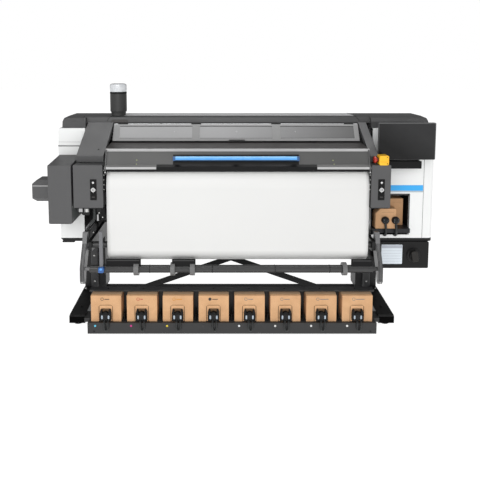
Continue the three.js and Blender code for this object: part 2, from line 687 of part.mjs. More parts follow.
piece("left_tower", tower(TOWER_LEFT, KEYS_LEFT_X), GREY, 0.5);
piece("right_tower", tower(TOWER_RIGHT, KEYS_RIGHT_X), GREY, 0.5);
const keyNames = ["upper_key", "jog_key", "lower_key"];
for (const [name, x] of [["left", KEYS_LEFT_X], ["right", KEYS_RIGHT_X]]) {
  keyNames.forEach((key, i) => {
    const round = i === 1;
    piece(`${name}_${key}`, towerKey(x, KEY_Z[i], round), round ? WHITE : BLACK);
  });
}
piece("side_drive_box", sideBox(), GREY, 0.5);
piece("control_display", controlDisplay(), BLACK, 0.15);
piece("estop_box", estopBox(), YELLOW, 0.5);
piece("estop_button", estopButton(), RED, 0.4);
piece("beacon_body", beaconBody(), BLACK, 0.4);
piece("beacon_lens", beaconLens(), WHITE, 0.2);

piece("electrical_box", electricalBox(), DARK, 0.5);
piece("power_switch", powerSwitch(), BLACK, 0.4);
piece("front_cartridge", frontCartridge(), CARD, 0.9);
piece("rear_cartridge", rearCartridge(), CARD, 0.9);

piece("takeup_spindle", takeupSpindle(), STEEL, 0.35, 0.8);
piece("takeup_roll", takeupRoll(), PAPER, 0.6);
piece("media_web", mediaWeb(), PAPER, 0.5);
piece("tension_bar", tensionBar(), DARK, 0.4, 0.4);
piece("lock_lever", lockLever(), BLUE, 0.4);

export default group;
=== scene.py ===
"""A wide-format roll-to-roll printer, finished around its CAD frame. +Z is up, -Y faces its user."""
import math

import bmesh
import bpy
from mathutils import Matrix, Vector


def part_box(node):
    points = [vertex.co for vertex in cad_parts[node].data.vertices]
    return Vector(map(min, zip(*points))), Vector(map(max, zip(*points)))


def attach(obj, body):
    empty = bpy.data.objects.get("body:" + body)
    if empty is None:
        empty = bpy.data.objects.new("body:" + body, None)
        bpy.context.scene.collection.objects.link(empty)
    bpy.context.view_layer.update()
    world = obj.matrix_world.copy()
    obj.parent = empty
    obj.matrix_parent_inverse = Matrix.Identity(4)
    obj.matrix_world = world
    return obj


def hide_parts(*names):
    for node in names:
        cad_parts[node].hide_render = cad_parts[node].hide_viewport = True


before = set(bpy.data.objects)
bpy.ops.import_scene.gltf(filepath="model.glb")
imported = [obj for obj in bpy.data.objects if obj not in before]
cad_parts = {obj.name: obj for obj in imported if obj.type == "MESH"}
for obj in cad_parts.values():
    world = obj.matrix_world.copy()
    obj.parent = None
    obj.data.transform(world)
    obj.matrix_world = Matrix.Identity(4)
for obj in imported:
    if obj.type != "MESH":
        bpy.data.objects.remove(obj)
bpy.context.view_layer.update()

MM = 0.001  # pieces are drawn in millimetres and placed in metres


# ---- places, from the CAD frame ----
class Box:
    """The box of a CAD node, in millimetres."""

    def __init__(self, node):
        low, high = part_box(node)
        self.x0, self.y0, self.z0 = (v / MM for v in low)
        self.x1, self.y1, self.z1 = (v / MM for v in high)
        self.x = (self.x0 + self.x1) / 2
        self.y = (self.y0 + self.y1) / 2
        self.z = (self.z0 + self.z1) / 2


# ---- materials ----
def principled(name):
    material = bpy.data.materials.new(name)
    material.use_nodes = True
    tree = material.node_tree
    tree.nodes.clear()
    out = tree.nodes.new("ShaderNodeOutputMaterial")
    shader = tree.nodes.new("ShaderNodeBsdfPrincipled")
    tree.links.new(shader.outputs[0], out.inputs[0])
    return material, tree, shader


def placed(tree, stretch=(1, 1, 1)):
    """The row frame's own coordinates in metres, stretched along an axis where the grain runs that way."""
    where = tree.nodes.new("ShaderNodeTexCoord")
    mapping = tree.nodes.new("ShaderNodeMapping")
    mapping.inputs["Scale"].default_value = stretch
    tree.links.new(where.outputs["Object"], mapping.inputs["Vector"])
    return mapping.outputs["Vector"]


def noise(tree, vector, size, detail=3.0):
    """Noise whose patches are about size millimetres across."""
    node = tree.nodes.new("ShaderNodeTexNoise")
    node.inputs["Scale"].default_value = 1 / (size * MM)
    node.inputs["Detail"].default_value = detail
    tree.links.new(vector, node.inputs["Vector"])
    return node.outputs["Fac"]


def ramp(tree, value, low, high, to_low, to_high):
    node = tree.nodes.new("ShaderNodeMapRange")
    node.inputs["From Min"].default_value = low
    node.inputs["From Max"].default_value = high
    node.inputs["To Min"].default_value = to_low
    node.inputs["To Max"].default_value = to_high
    tree.links.new(value, node.inputs["Value"])
    return node.outputs["Result"]


def maths(tree, operation, a, b):
    node = tree.nodes.new("ShaderNodeMath")
    node.operation = operation
    for socket, value in zip(node.inputs, (a, b)):
        if isinstance(value, (int, float)):
            socket.default_value = value
        else:
            tree.links.new(value, socket)
    return node.outputs[0]


def mixed(tree, fac, a, b):
    """A mix of two colours, each a tuple or a socket."""
    node = tree.nodes.new("ShaderNodeMix")
    node.data_type = "RGBA"
    tree.links.new(fac, node.inputs["Factor"])
    for socket, value in zip((node.inputs[6], node.inputs[7]), (a, b)):
        if isinstance(value, tuple):
            socket.default_value = (*value, 1)
        else:
            tree.links.new(value, socket)
    return node.outputs[2]


def bumped(tree, shader, height, depth, strength=1.0):
    node = tree.nodes.new("ShaderNodeBump")
    node.inputs["Distance"].default_value = depth * MM
    node.inputs["Strength"].default_value = strength
    tree.links.new(height, node.inputs["Height"])
    tree.links.new(node.outputs["Normal"], shader.inputs["Normal"])


def surface(name, dark, light, rough, grain=1.5, depth=0.05, patch=120, metallic=0.0, spec=0.5, coat=0.0,
            stretch=(1, 1, 1), spread=0.07, strength=0.5):
    """A finish that drifts between two colours, with a grain of that size and depth in millimetres."""
    material, tree, shader = principled(name)
    vector = placed(tree, stretch)
    fine = noise(tree, vector, grain, 2.0)
    broad = noise(tree, vector, patch, 4.0)
    both = maths(tree, "MULTIPLY_ADD", fine, 0.35)
    tree.links.new(maths(tree, "MULTIPLY", broad, 0.65), both.node.inputs[2])
    tree.links.new(mixed(tree, ramp(tree, both, 0.3, 0.7, 0, 1), dark, light), shader.inputs["Base Color"])
    tree.links.new(ramp(tree, broad, 0.3, 0.7, rough - spread, rough + spread), shader.inputs["Roughness"])
    shader.inputs["Metallic"].default_value = metallic
    shader.inputs["Specular IOR Level"].default_value = spec
    shader.inputs["Coat Weight"].default_value = coat
    shader.inputs["Coat Roughness"].default_value = 0.12
    bumped(tree, shader, fine, depth, strength)
    return material


def shade(level, tint=(1.0, 1.0, 1.0), swing=0.1):
    """The dark and light ends of a colour about that level."""
    return [tuple(level * t * (1 + s) for t in tint) for s in (-swing, swing)]


def kraft(name, level=1.0):
    """Corrugated board: fibres along X, flutes that just show, and flecks."""
    material, tree, shader = principled(name)
    plain = placed(tree)
    fibres = noise(tree, placed(tree, (1, 1, 6)), 7, 5.0)
    fleck = ramp(tree, noise(tree, plain, 1.6, 1.0), 0.66, 0.74, 0, 0.5)
    blot = noise(tree, plain, 60, 3.0)
    body = maths(tree, "ADD", maths(tree, "MULTIPLY", fibres, 0.6), maths(tree, "MULTIPLY", blot, 0.4))
    pale, deep = (0.74 * level, 0.45 * level, 0.245 * level), (0.60 * level, 0.34 * level, 0.175 * level)
    base = mixed(tree, ramp(tree, body, 0.35, 0.65, 0, 1), deep, pale)
    tree.links.new(mixed(tree, fleck, base, (0.36 * level, 0.19 * level, 0.09 * level)),
                   shader.inputs["Base Color"])
    wave = tree.nodes.new("ShaderNodeTexWave")
    wave.bands_direction = "X"
    wave.inputs["Scale"].default_value = 55
    wave.inputs["Distortion"].default_value = 0.4
    tree.links.new(plain, wave.inputs["Vector"])
    shader.inputs["Roughness"].default_value = 0.85
    shader.inputs["Specular IOR Level"].default_value = 0.25
    height = maths(tree, "ADD", maths(tree, "MULTIPLY", wave.outputs["Fac"], 0.5), fibres)
    bumped(tree, shader, height, 0.15, 0.6)
    return material


def pane_material():
    """Smoked polycarbonate with a painted reflection: it grows darker from the left-hand pane to the
    right-hand one.
    """
    material, tree, shader = principled("smoked_pane_painted_reflection")
    vector = placed(tree)
    split = tree.nodes.new("ShaderNodeSeparateXYZ")
    tree.links.new(vector, split.inputs[0])
    # the ramp in drift is the painted reflection; its noise is the panes' own tone
    drift = maths(tree, "ADD", ramp(tree, split.outputs["X"], -0.1, 0.8, 0.0, 0.85),
                  maths(tree, "MULTIPLY", noise(tree, vector, 300, 2.0), 0.12))
    tree.links.new(mixed(tree, drift, (0.47, 0.47, 0.475), (0.11, 0.11, 0.11)), shader.inputs["Base Color"])
    tree.links.new(ramp(tree, noise(tree, vector, 40, 2.0), 0.3, 0.7, 0.06, 0.12),
                   shader.inputs["Roughness"])
    shader.inputs["Coat Weight"].default_value = 0.6
    shader.inputs["Coat Roughness"].default_value = 0.05
    bumped(tree, shader, noise(tree, vector, 25, 2.0), 0.02, 0.3)
    return material


def screen_material():
    """A dark glass front with a painted reflection: a lighter slanting band across it."""
    material, tree, shader = principled("screen_glass")
    vector = placed(tree)
    split = tree.nodes.new("ShaderNodeSeparateXYZ")
    tree.links.new(vector, split.inputs[0])
    painted_reflection_slant = maths(tree, "MULTIPLY_ADD", split.outputs["X"], 0.62)
    tree.links.new(split.outputs["Z"], painted_reflection_slant.node.inputs[2])
    # band is the painted reflection
    band = ramp(tree, painted_reflection_slant, 1.74, 1.95, 0.0, 1.0)
    grain = maths(tree, "MULTIPLY", noise(tree, vector, 60, 2.0), 0.25)
    tree.links.new(mixed(tree, maths(tree, "ADD", band, grain), (0.008, 0.008, 0.0082),
                         (0.030, 0.030, 0.031)),
                   shader.inputs["Base Color"])
    tree.links.new(ramp(tree, noise(tree, vector, 90, 2.0), 0.3, 0.7, 0.12, 0.2),
                   shader.inputs["Roughness"])
    shader.inputs["Specular IOR Level"].default_value = 0.2
    bumped(tree, shader, noise(tree, vector, 1.2, 1.0), 0.004, 0.3)
    return material


WEB_PAINTED_LIGHT = (0.90, 1.00)  # heights in metres over which painted light brightens the web under the door
WEB_PAINTED_SHADE = (0.455, 0.515)  # and over which painted shade greys it where it turns under the roll


def web_material():
    """White vinyl, with painted light where it leaves the door and painted shade where it turns under the
    roll.
    """
    material, tree, shader = principled("white_vinyl_web_painted_shading")
    vector = placed(tree)
    split = tree.nodes.new("ShaderNodeSeparateXYZ")
    tree.links.new(vector, split.inputs[0])
    height = split.outputs["Z"]
    top = ramp(tree, height, *WEB_PAINTED_LIGHT, 0.0, 0.10)
    low = ramp(tree, height, *WEB_PAINTED_SHADE, -0.30, 0.0)
    painted_shading = maths(tree, "ADD", maths(tree, "ADD", top, low), 0.72)
    weave = maths(tree, "MULTIPLY", noise(tree, vector, 400, 3.0), 0.03)
    level = maths(tree, "ADD", painted_shading, weave)
    tree.links.new(mixed(tree, level, (0.0, 0.0, 0.0), (1.0, 1.0, 0.985)), shader.inputs["Base Color"])
    tree.links.new(ramp(tree, noise(tree, vector, 150, 2.0), 0.3, 0.7, 0.40, 0.48),
                   shader.inputs["Roughness"])
    bumped(tree, shader, noise(tree, vector, 2.0, 2.0), 0.012, 0.5)
    return material


def lens_material():
    material, tree, shader = principled("clear_lens")
    vector = placed(tree)
    tree.links.new(mixed(tree, noise(tree, vector, 20, 2.0), (0.70, 0.73, 0.76), (0.92, 0.93, 0.95)),
                   shader.inputs["Base Color"])
    tree.links.new(ramp(tree, noise(tree, vector, 12, 2.0), 0.3, 0.7, 0.08, 0.16),
                   shader.inputs["Roughness"])
    shader.inputs["Transmission Weight"].default_value = 0.15
    shader.inputs["IOR"].default_value = 1.45
    shader.inputs["Coat Weight"].default_value = 0.5
    bumped(tree, shader, noise(tree, vector, 3, 1.0), 0.03, 0.4)
    return material


GREY_TINT = (1.0, 1.0, 1.02)
FRAME = surface("frame_powder_coat", *shade(0.009, GREY_TINT), 0.45, grain=1.2, depth=0.08, spec=0.25)
LEG = surface("leg_powder_coat", *shade(0.014, GREY_TINT), 0.42, grain=1.2, depth=0.08, spec=0.3)
GREY = surface("grey_textured_paint", *shade(0.086, GREY_TINT, 0.05), 0.50, grain=1.0, depth=0.07, spec=0.4)
COVER = surface("grey_moulded_cover", *shade(0.068, GREY_TINT, 0.06), 0.42, grain=0.9, depth=0.05, spec=0.4)
DOOR = surface("door_grey_moulding", *shade(0.088, (1, 1, 0.985), 0.05), 0.42, grain=0.9, depth=0.05,
               spec=0.35)
BLACK = surface("black_plastic", *shade(0.006, (1, 1, 1.05), 0.3), 0.48, grain=0.8, depth=0.05, spec=0.18)
SATIN_BLACK = surface("satin_black", *shade(0.010, GREY_TINT, 0.2), 0.35, grain=3, depth=0.02, spec=0.25)
DEEP_BLACK = surface("foot_cap_black", *shade(0.0025, (1, 1, 1), 0.3), 0.7, grain=1.0, depth=0.05,
                     spec=0.03)
RUBBER = surface("rubber", *shade(0.012, (1, 1, 1), 0.25), 0.78, grain=0.7, depth=0.12, spec=0.2)
WHITE = surface("white_cover_paint", (0.88, 0.89, 0.885), (0.92, 0.93, 0.925), 0.34, grain=1.4, depth=0.04,
                coat=0.15)
KEY_WHITE = surface("white_key_plastic", *shade(0.72, (1, 1, 1), 0.05), 0.35, grain=0.8, depth=0.03)
FRAME_GREY = surface("window_frame_aluminium", *shade(0.33, (1, 1, 1), 0.05), 0.36, grain=1.0, depth=0.04,
                     stretch=(0.15, 1, 1))
LEDGE_STRIP = surface("ledge_strip", *shade(0.17, (0.97, 0.99, 1.04), 0.06), 0.36, grain=1.0, depth=0.03,
                      stretch=(0.1, 1, 1), spec=0.4)
LEDGE = surface("ledge_paint", *shade(0.060, (1.05, 0.97, 0.94), 0.08), 0.45, grain=1.0, depth=0.04,
                stretch=(0.1, 1, 1), spec=0.3)
STEEL = surface("brushed_steel", *shade(0.42, (1, 1, 1.01), 0.12), 0.30, grain=0.9, depth=0.03,
                metallic=1.0,
                stretch=(0.04, 1, 1))
ZINC = surface("zinc_plated", *shade(0.60, (1.0, 1.0, 0.98), 0.15), 0.25, grain=3, depth=0.03, metallic=1.0)
DUCT = surface("duct_grey", *shade(0.045, (1, 1, 1.02), 0.10), 0.40, grain=1.2, depth=0.03,
               stretch=(1, 1, 0.2),
               spec=0.3)
ALLOY = surface("anodised_alloy", *shade(0.20, (1, 1, 1.02), 0.10), 0.34, grain=1.2, depth=0.03,
                metallic=0.55,
                stretch=(1, 1, 0.08))
TUBE = surface("tube_alloy", *shade(0.050, (1, 1, 1), 0.10), 0.34, grain=1.0, depth=0.02, metallic=0.3,
               stretch=(0.05, 1, 1))
BAY_SHELF = surface("bay_shelf_paint", *shade(0.020, (0.95, 0.98, 1.08), 0.08), 0.42, grain=1.0, depth=0.04,
                    spec=0.3)
BLUE = surface("blue_handle", (0.07, 0.33, 0.80), (0.10, 0.42, 0.92), 0.28, grain=1.0, depth=0.03, coat=0.5)
# the handle's top band: painted highlight
BLUE_PAINTED_HIGHLIGHT = surface("blue_handle_painted_highlight", (0.16, 0.46, 0.85), (0.22, 0.55, 0.95), 0.26, grain=1.0, depth=0.03,
                   coat=0.5)
# the handle's lower band: painted shade
BLUE_PAINTED_SHADE = surface("blue_handle_painted_shade", (0.012, 0.055, 0.13), (0.016, 0.075, 0.17), 0.34, grain=1.0,
                   depth=0.03)
BLUE_END = surface("blue_handle_end", (0.012, 0.075, 0.22), (0.018, 0.10, 0.28), 0.3, coat=0.4)
# a pale grey for the door's rolled top edge and lip: painted highlight
LIP_PAINTED_HIGHLIGHT = surface("door_lip_painted_highlight", *shade(0.46, (1, 1, 1), 0.05), 0.34, grain=0.9, depth=0.03)
DOOR_END = surface("door_end_grey", *shade(0.07, (1, 1, 1), 0.05), 0.42, grain=0.9, depth=0.04)
TAG = surface("small_tag", *shade(0.30, (0.9, 1.0, 0.45), 0.1), 0.5)
BLUE_PANEL = surface("blue_panel", (0.020, 0.40, 0.90), (0.035, 0.46, 0.97), 0.35, grain=1.2, depth=0.02,
                     coat=0.2)
PALE_BLUE = surface("pale_blue_edge", *shade(0.55, (0.85, 1.0, 1.1), 0.05), 0.4, grain=1.2, depth=0.02)
YELLOW = surface("safety_yellow", (0.90, 0.45, 0.010), (0.98, 0.56, 0.020), 0.38, grain=0.9, depth=0.05)
RED = surface("safety_red", (0.42, 0.020, 0.010), (0.55, 0.035, 0.015), 0.30, grain=0.9, depth=0.03,
              coat=0.3)
VINYL = surface("white_vinyl", (0.77, 0.77, 0.755), (0.81, 0.81, 0.795), 0.42, grain=2.0, depth=0.012,
                patch=400,
                spread=0.04)
VINYL_EDGE = surface("rolled_vinyl_edge", *shade(0.60, (1, 1, 0.98), 0.10), 0.6, grain=1.0, depth=0.1,
                     patch=30)
KRAFT = kraft("kraft_board")
KRAFT_PALE = kraft("kraft_flap", 1.12)
KRAFT_DARK = kraft("kraft_core", 0.62)
# a very dark kraft for inside the carton windows: painted shade
KRAFT_PAINTED_SHADE_INSIDE = kraft("kraft_painted_shade_inside", 0.28)
TAPE = surface("paper_tape", *shade(0.46, (1.0, 0.66, 0.40), 0.08), 0.5, grain=2.5, depth=0.05)
LABEL = surface("pale_panel", *shade(0.84, (0.90, 0.98, 1.05), 0.04), 0.4, grain=1.5, depth=0.03)
# the panel's rib lines, and the painted shadow across its top
PANEL_RIBS_AND_PAINTED_SHADOW = surface("panel_ribs_and_painted_shadow", *shade(0.50, (0.92, 0.98, 1.10), 0.06), 0.42, grain=1.5, depth=0.03)
HOSE = surface("ink_hose", *shade(0.010, (0.9, 1.1, 1.1), 0.3), 0.30, grain=2.0, depth=0.05)
# pale bluish ovals on the connectors: painted highlights
CONNECTOR_PAINTED_HIGHLIGHT = surface("connector_painted_highlight", *shade(0.50, (0.82, 0.96, 1.10), 0.10), 0.30, grain=1.0, depth=0.03)
PRINT = surface("printed_mark", *shade(0.045, (1.0, 0.85, 0.75), 0.2), 0.8, grain=1.0, depth=0.01)
PRINT_RED = surface("printed_red_mark", *shade(0.50, (1.0, 0.16, 0.12), 0.1), 0.8, grain=1.0, depth=0.01)
PRINT_AMBER = surface("printed_amber_mark", *shade(0.62, (1.0, 0.42, 0.05), 0.1), 0.8, grain=1.0,
                      depth=0.01)
PRINT_GREY = surface("printed_grey_mark", *shade(0.22, (1.0, 0.9, 0.82), 0.1), 0.8, grain=1.0, depth=0.01)
COVER_LIGHT = surface("arm_cover_moulding", *shade(0.078, GREY_TINT, 0.06), 0.44, grain=0.9, depth=0.05,
                      spec=0.4)
SHELL_DARK = surface("electrical_box_paint", *shade(0.009, GREY_TINT, 0.1), 0.44, grain=1.2, depth=0.07,
                     spec=0.22)
# a darker kraft for the rear carton in the bay: painted shade
KRAFT_PAINTED_SHADE = kraft("kraft_painted_shade", 0.85)
LEVER_GREY = surface("lever_grey", *shade(0.16, (0.97, 0.98, 1.05), 0.08), 0.35, grain=1.0, depth=0.03)
ARM_GREY = surface("swing_arm_grey", *shade(0.17, (1, 1, 1.02), 0.10), 0.40, grain=1.2, depth=0.03)
BEACON_GREY = surface("beacon_grey", *shade(0.040, (1, 1, 1), 0.08), 0.45, grain=0.9, depth=0.04, spec=0.3)
# the top panel's pale grey: partly its own colour, partly painted highlight
PALE_TOP_AND_PAINTED_HIGHLIGHT = surface("top_panel_grey_and_painted_highlight", *shade(0.74, (1, 1, 1.01), 0.05), 0.40, grain=0.9, depth=0.04)
# a light blue patch on the lever knob: painted highlight
KNOB_PAINTED_HIGHLIGHT = surface("knob_painted_highlight", (0.09, 0.36, 0.82), (0.12, 0.42, 0.90), 0.3, coat=0.3)
RING_GREY = surface("ring_grey", *shade(0.15, (1, 1, 1), 0.06), 0.45, grain=1.0, depth=0.03)
KNOB_BLUE = surface("knob_blue", (0.010, 0.085, 0.30), (0.018, 0.12, 0.40), 0.3, coat=0.4)
SHELF_PAINT = surface("shelf_powder_coat", *shade(0.036, GREY_TINT, 0.08), 0.42, grain=1.2, depth=0.07,
                      spec=0.3)
SWITCH_GRIP = surface("switch_grip", *shade(0.016, (1.1, 1.0, 0.9), 0.1), 0.4, grain=1.0, depth=0.03,
                      spec=0.3)
GREEN_GREY = surface("green_grey_panel", *shade(0.11, (0.92, 1.0, 0.98), 0.08), 0.45)
# a darker orange for a strip on the estop box: painted shade
GROOVE_PAINTED_SHADE = surface("yellow_groove_painted_shade", (0.5, 0.25, 0.01), (0.6, 0.3, 0.01), 0.5)
PANE_PAINTED_REFLECTION = pane_material()
WEB_PAINTED_SHADING = web_material()
RIM = surface("display_rim", *shade(0.10, (1, 1, 1.02), 0.05), 0.38, grain=0.9, depth=0.03)
SCREEN_PAINTED_REFLECTION = screen_material()
LENS = lens_material()
INKS = [surface(f"ink_dot_{i}", *shade(1.0, tint, 0.08), 0.4, grain=0.8, depth=0.02) for i,
        tint in enumerate([
    (0.10, 0.52, 0.72), (0.55, 0.03, 0.22), (0.75, 0.58, 0.03), (0.03, 0.03, 0.03),
    (0.72, 0.74, 0.76), (0.74, 0.74, 0.72), (0.74, 0.74, 0.74), (0.76, 0.76, 0.74)])]


# ---- shapes, each a bmesh in millimetres ----
def box(x0, x1, y0, y1, z0, z1):
    shape = bmesh.new()
    bmesh.ops.create_cube(shape, size=1)
    for v in shape.verts:
        v.co = (x0 if v.co.x < 0 else x1, y0 if v.co.y < 0 else y1, z0 if v.co.z < 0 else z1)
    return shape


def prism(axis, outline, a, b):
    """An outline run from a to b along x, y or z. It is given in the other two axes, in their order."""
    put = {"x": lambda u, v, w: (w, u, v), "y": lambda u, v, w: (u, w, v), "z": lambda u, v,
           w: (u, v, w)}[axis]
    shape = bmesh.new()
    rings = [[shape.verts.new(put(u, v, w)) for u, v in outline] for w in (a, b)]
    for ring in rings:
        shape.faces.new(ring)
    for i in range(len(outline)):
        j = (i + 1) % len(outline)
        shape.faces.new((rings[0][i], rings[0][j], rings[1][j], rings[1][i]))
    bmesh.ops.recalc_face_normals(shape, faces=shape.faces)
    return shape


def arc(cu, cv, r, start, stop, steps):
    angles = [math.radians(start + (stop - start) * i / steps) for i in range(steps + 1)]
    return [(cu + r * math.cos(a), cv + r * math.sin(a)) for a in angles]


def rounded(u0, u1, v0, v1, r, steps=5):
    """A rectangle with round corners."""
    corners = [(u1 - r, v1 - r, 0), (u0 + r, v1 - r, 90), (u0 + r, v0 + r, 180), (u1 - r, v0 + r, 270)]
    return [p for cu, cv, a in corners for p in arc(cu, cv, r, a, a + 90, steps)]


def facing(axis):
    """A turn that takes +Z to an axis such as 'x' or '-y'."""
    way = {"x": (1, 0, 0), "y": (0, 1, 0), "z": (0, 0, 1)}[axis[-1]]
    return Vector(way if len(axis) == 1 else [-c for c in way]).to_track_quat("Z", "Y").to_matrix().to_4x4()


def lathe(profile, centre, axis="z", sides=48):
    """A profile of (radius, height) turned about an axis through centre. It meets the axis, or closes."""
    shape = bmesh.new()
    rings = []
    for r, h in profile:
        if r < 1e-6:
            rings.append([shape.verts.new((0, 0, h))])
            continue
        turn = [2 * math.pi * k / sides for k in range(sides)]
        rings.append([shape.verts.new((r * math.cos(a), r * math.sin(a), h)) for a in turn])
    closed = len(rings[0]) > 1
    pairs = list(zip(rings, rings[1:] + rings[:1])) if closed else list(zip(rings, rings[1:]))
    for low, high in pairs:
        for k in range(sides):
            n = (k + 1) % sides
            corners = [low[k % len(low)], low[n % len(low)], high[n % len(high)], high[k % len(high)]]
            corners = list(dict.fromkeys(corners))
            if len(corners) > 2:
                shape.faces.new(corners)
    shape.transform(Matrix.Translation(centre) @ facing(axis))
    bmesh.ops.recalc_face_normals(shape, faces=shape.faces)
    return shape


def rod(axis, a, b, r, u, v, sides=40, chamfer=0.0):
    """A round bar from a to b along an axis; u and v are its place in the other two."""
    start = {"x": (a, u, v), "y": (u, a, v), "z": (u, v, a)}[axis]
    c = chamfer
    profile = [(0, 0), (r - c, 0), (r, c), (r, b - a - c), (r - c, b - a), (0, b - a)] if c else [
        (0, 0), (r, 0), (r, b - a), (0, b - a)]
    return lathe(profile, start, axis, sides)


def smooth_path(points, per_span=6):
    """Points along a curve that passes through each of the given ones."""
    pts = [Vector(p) for p in points]
    ends = [pts[0] * 2 - pts[1], *pts, pts[-1] * 2 - pts[-2]]
    out = []
    for p0, p1, p2, p3 in zip(ends, ends[1:], ends[2:], ends[3:]):
        for k in range(per_span):
            t = k / per_span
            out.append(0.5 * ((2 * p1) + (p2 - p0) * t + (2 * p0 - 5 * p1 + 4 * p2 - p3) * t * t
                              + (3 * p1 - p0 - 3 * p2 + p3) * t ** 3))
    return [*out, pts[-1]]


def tube(points, r, sides=14, per_span=6):
    """A round cord or hose along a smooth path, closed at both ends."""
    path = smooth_path(points, per_span)
    shape = bmesh.new()
    rings = []
    side = None
    for i, p in enumerate(path):
        along = (path[min(i + 1, len(path) - 1)] - path[max(i - 1, 0)]).normalized()
        if side is None:
            side = along.orthogonal().normalized()
        side = (side - along * side.dot(along)).normalized()
        other = along.cross(side)
        turn = [2 * math.pi * k / sides for k in range(sides)]
        rings.append([shape.verts.new(p + r * (math.cos(a) * side + math.sin(a) * other)) for a in turn])
    for low, high in zip(rings, rings[1:]):
        for k in range(sides):
            n = (k + 1) % sides
            shape.faces.new((low[k], low[n], high[n], high[k]))
    shape.faces.new(rings[0])
    shape.faces.new(rings[-1])
    bmesh.ops.recalc_face_normals(shape, faces=shape.faces)
    return shape


def cleaned(shape):
    bmesh.ops.remove_doubles(shape, verts=shape.verts, dist=0.02)
    bmesh.ops.dissolve_limit(shape, angle_limit=math.radians(1.0), verts=shape.verts, edges=shape.edges)
    return shape


def cad(node):
    """A copy of a CAD node's shape, with its flat faces whole again."""
    shape = bmesh.new()
    shape.from_mesh(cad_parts[node].data)
    bmesh.ops.scale(shape, vec=(1 / MM,) * 3, verts=shape.verts)
    return cleaned(shape)


def as_object(shape):
    data = bpy.data.meshes.new("working")
    shape.to_mesh(data)
    shape.free()
    made = bpy.data.objects.new("working", data)
    bpy.context.scene.collection.objects.link(made)
    return made


def carve(shape, *tools):
    """The shape with the tools cut out of it."""
    target = as_object(shape)
    cutters = [as_object(t) for t in tools]
    for cutter in cutters:
        cut = target.modifiers.new("cut", "BOOLEAN")
        cut.object = cutter
        cut.solver = "EXACT"
        cut.operation = "DIFFERENCE"
    result = bmesh.new()
    result.from_object(target, bpy.context.evaluated_depsgraph_get())
    for o in (target, *cutters):
        data = o.data
        bpy.data.objects.remove(o)
        bpy.data.meshes.remove(data)
    return cleaned(result)


def turned_about(shape, centre, axis, degrees):
    place = Matrix.Translation(centre)
    shape.transform(place @ Matrix.Rotation(math.radians(degrees), 4, axis.upper()) @ place.inverted())
    return shape


# ---- a piece made of several shapes ----
SHARP_EDGE = math.radians(28)  # edges sharper than this are bevelled
SMOOTH_EDGE = math.radians(32)  # and those flatter than this are shaded smooth


class Kit:
    """Shapes and their materials, gathered in millimetres into one piece."""

    def __init__(self, name):
        self.name = name
        self.bm = bmesh.new()
        self.materials = []

    def _index(self, material):
        if material not in self.materials:
            self.materials.append(material)
        return self.materials.index(material)

    def add(self, shape, material, bevel=0.0, segments=2):
        """Adds a shape with its sharp edges rounded. material may choose by a face's middle."""
        if callable(material):
            for f in shape.faces:
                f.material_index = self._index(material(f.calc_center_median()))
        else:
            index = self._index(material)
            for f in shape.faces:
                f.material_index = index
        if bevel:
            sharp = [e for e in shape.edges if len(e.link_faces) == 2
                     and e.calc_face_angle(0) > SHARP_EDGE]
            bmesh.ops.bevel(shape, geom=sharp, offset=bevel, segments=segments, profile=0.5,
                            affect="EDGES", clamp_overlap=True, material=-1)
        data = bpy.data.meshes.new("part")
        shape.to_mesh(data)
        shape.free()
        self.bm.from_mesh(data)
        bpy.data.meshes.remove(data)
        return self

    def bolt(self, x, y, z, axis, size=6.0, material=ZINC):
        """A button-head screw that faces along axis, its seat at x, y, z."""
        h = size * 0.55
        head = [(0, -1), (size, -1), (size, h * 0.5), (size * 0.75, h * 0.9), (size * 0.5, h)]
        hole = [(size * 0.42, h), (size * 0.42, h * 0.3), (0, h * 0.3)]
        return self.add(lathe(head + hole, (x, y, z), axis, 16), material)

    def hex_bolt(self, x, y, z, axis, size=9.0):
        """A hexagon head on its washer."""
        washer = lathe([(0, -1), (size * 1.25, -1), (size * 1.25, 1.5), (0, 1.5)], (x, y, z), axis, 24)
        nut = lathe([(0, 0), (size, 0), (size, size * 0.65), (size * 0.8, size * 0.8), (0, size * 0.8)],
                    (x, y, z), axis, 6)
        self.add(washer, ZINC)
        return self.add(nut, ZINC, 0.4, 1)

    def place(self, body, slot, replaces=()):
        """Makes the piece, which rides body and may stand for CAD nodes."""
        bmesh.ops.scale(self.bm, vec=(MM,) * 3, verts=self.bm.verts)
        data = bpy.data.meshes.new(self.name)
        self.bm.to_mesh(data)
        self.bm.free()
        for material in self.materials:
            data.materials.append(material)
        data.shade_smooth()
        data.set_sharp_from_angle(angle=SMOOTH_EDGE)
        made = bpy.data.objects.new(self.name, data)
        bpy.context.scene.collection.objects.link(made)
        normals = made.modifiers.new("normals", "WEIGHTED_NORMAL")
        normals.keep_sharp = True
        if replaces:
            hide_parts(*replaces)
        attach(made, body)
        return made


def dressed(node, material, slot, bevel=1.0, segments=2, body="machine", extra=None):
    """A CAD node with rounded edges and its finish. extra adds shapes to it."""
    kit = Kit(f"{node}_finish")
    kit.add(cad(node), material, bevel, segments)
    if extra:
        extra(kit)
    return kit.place(body, slot, [node])


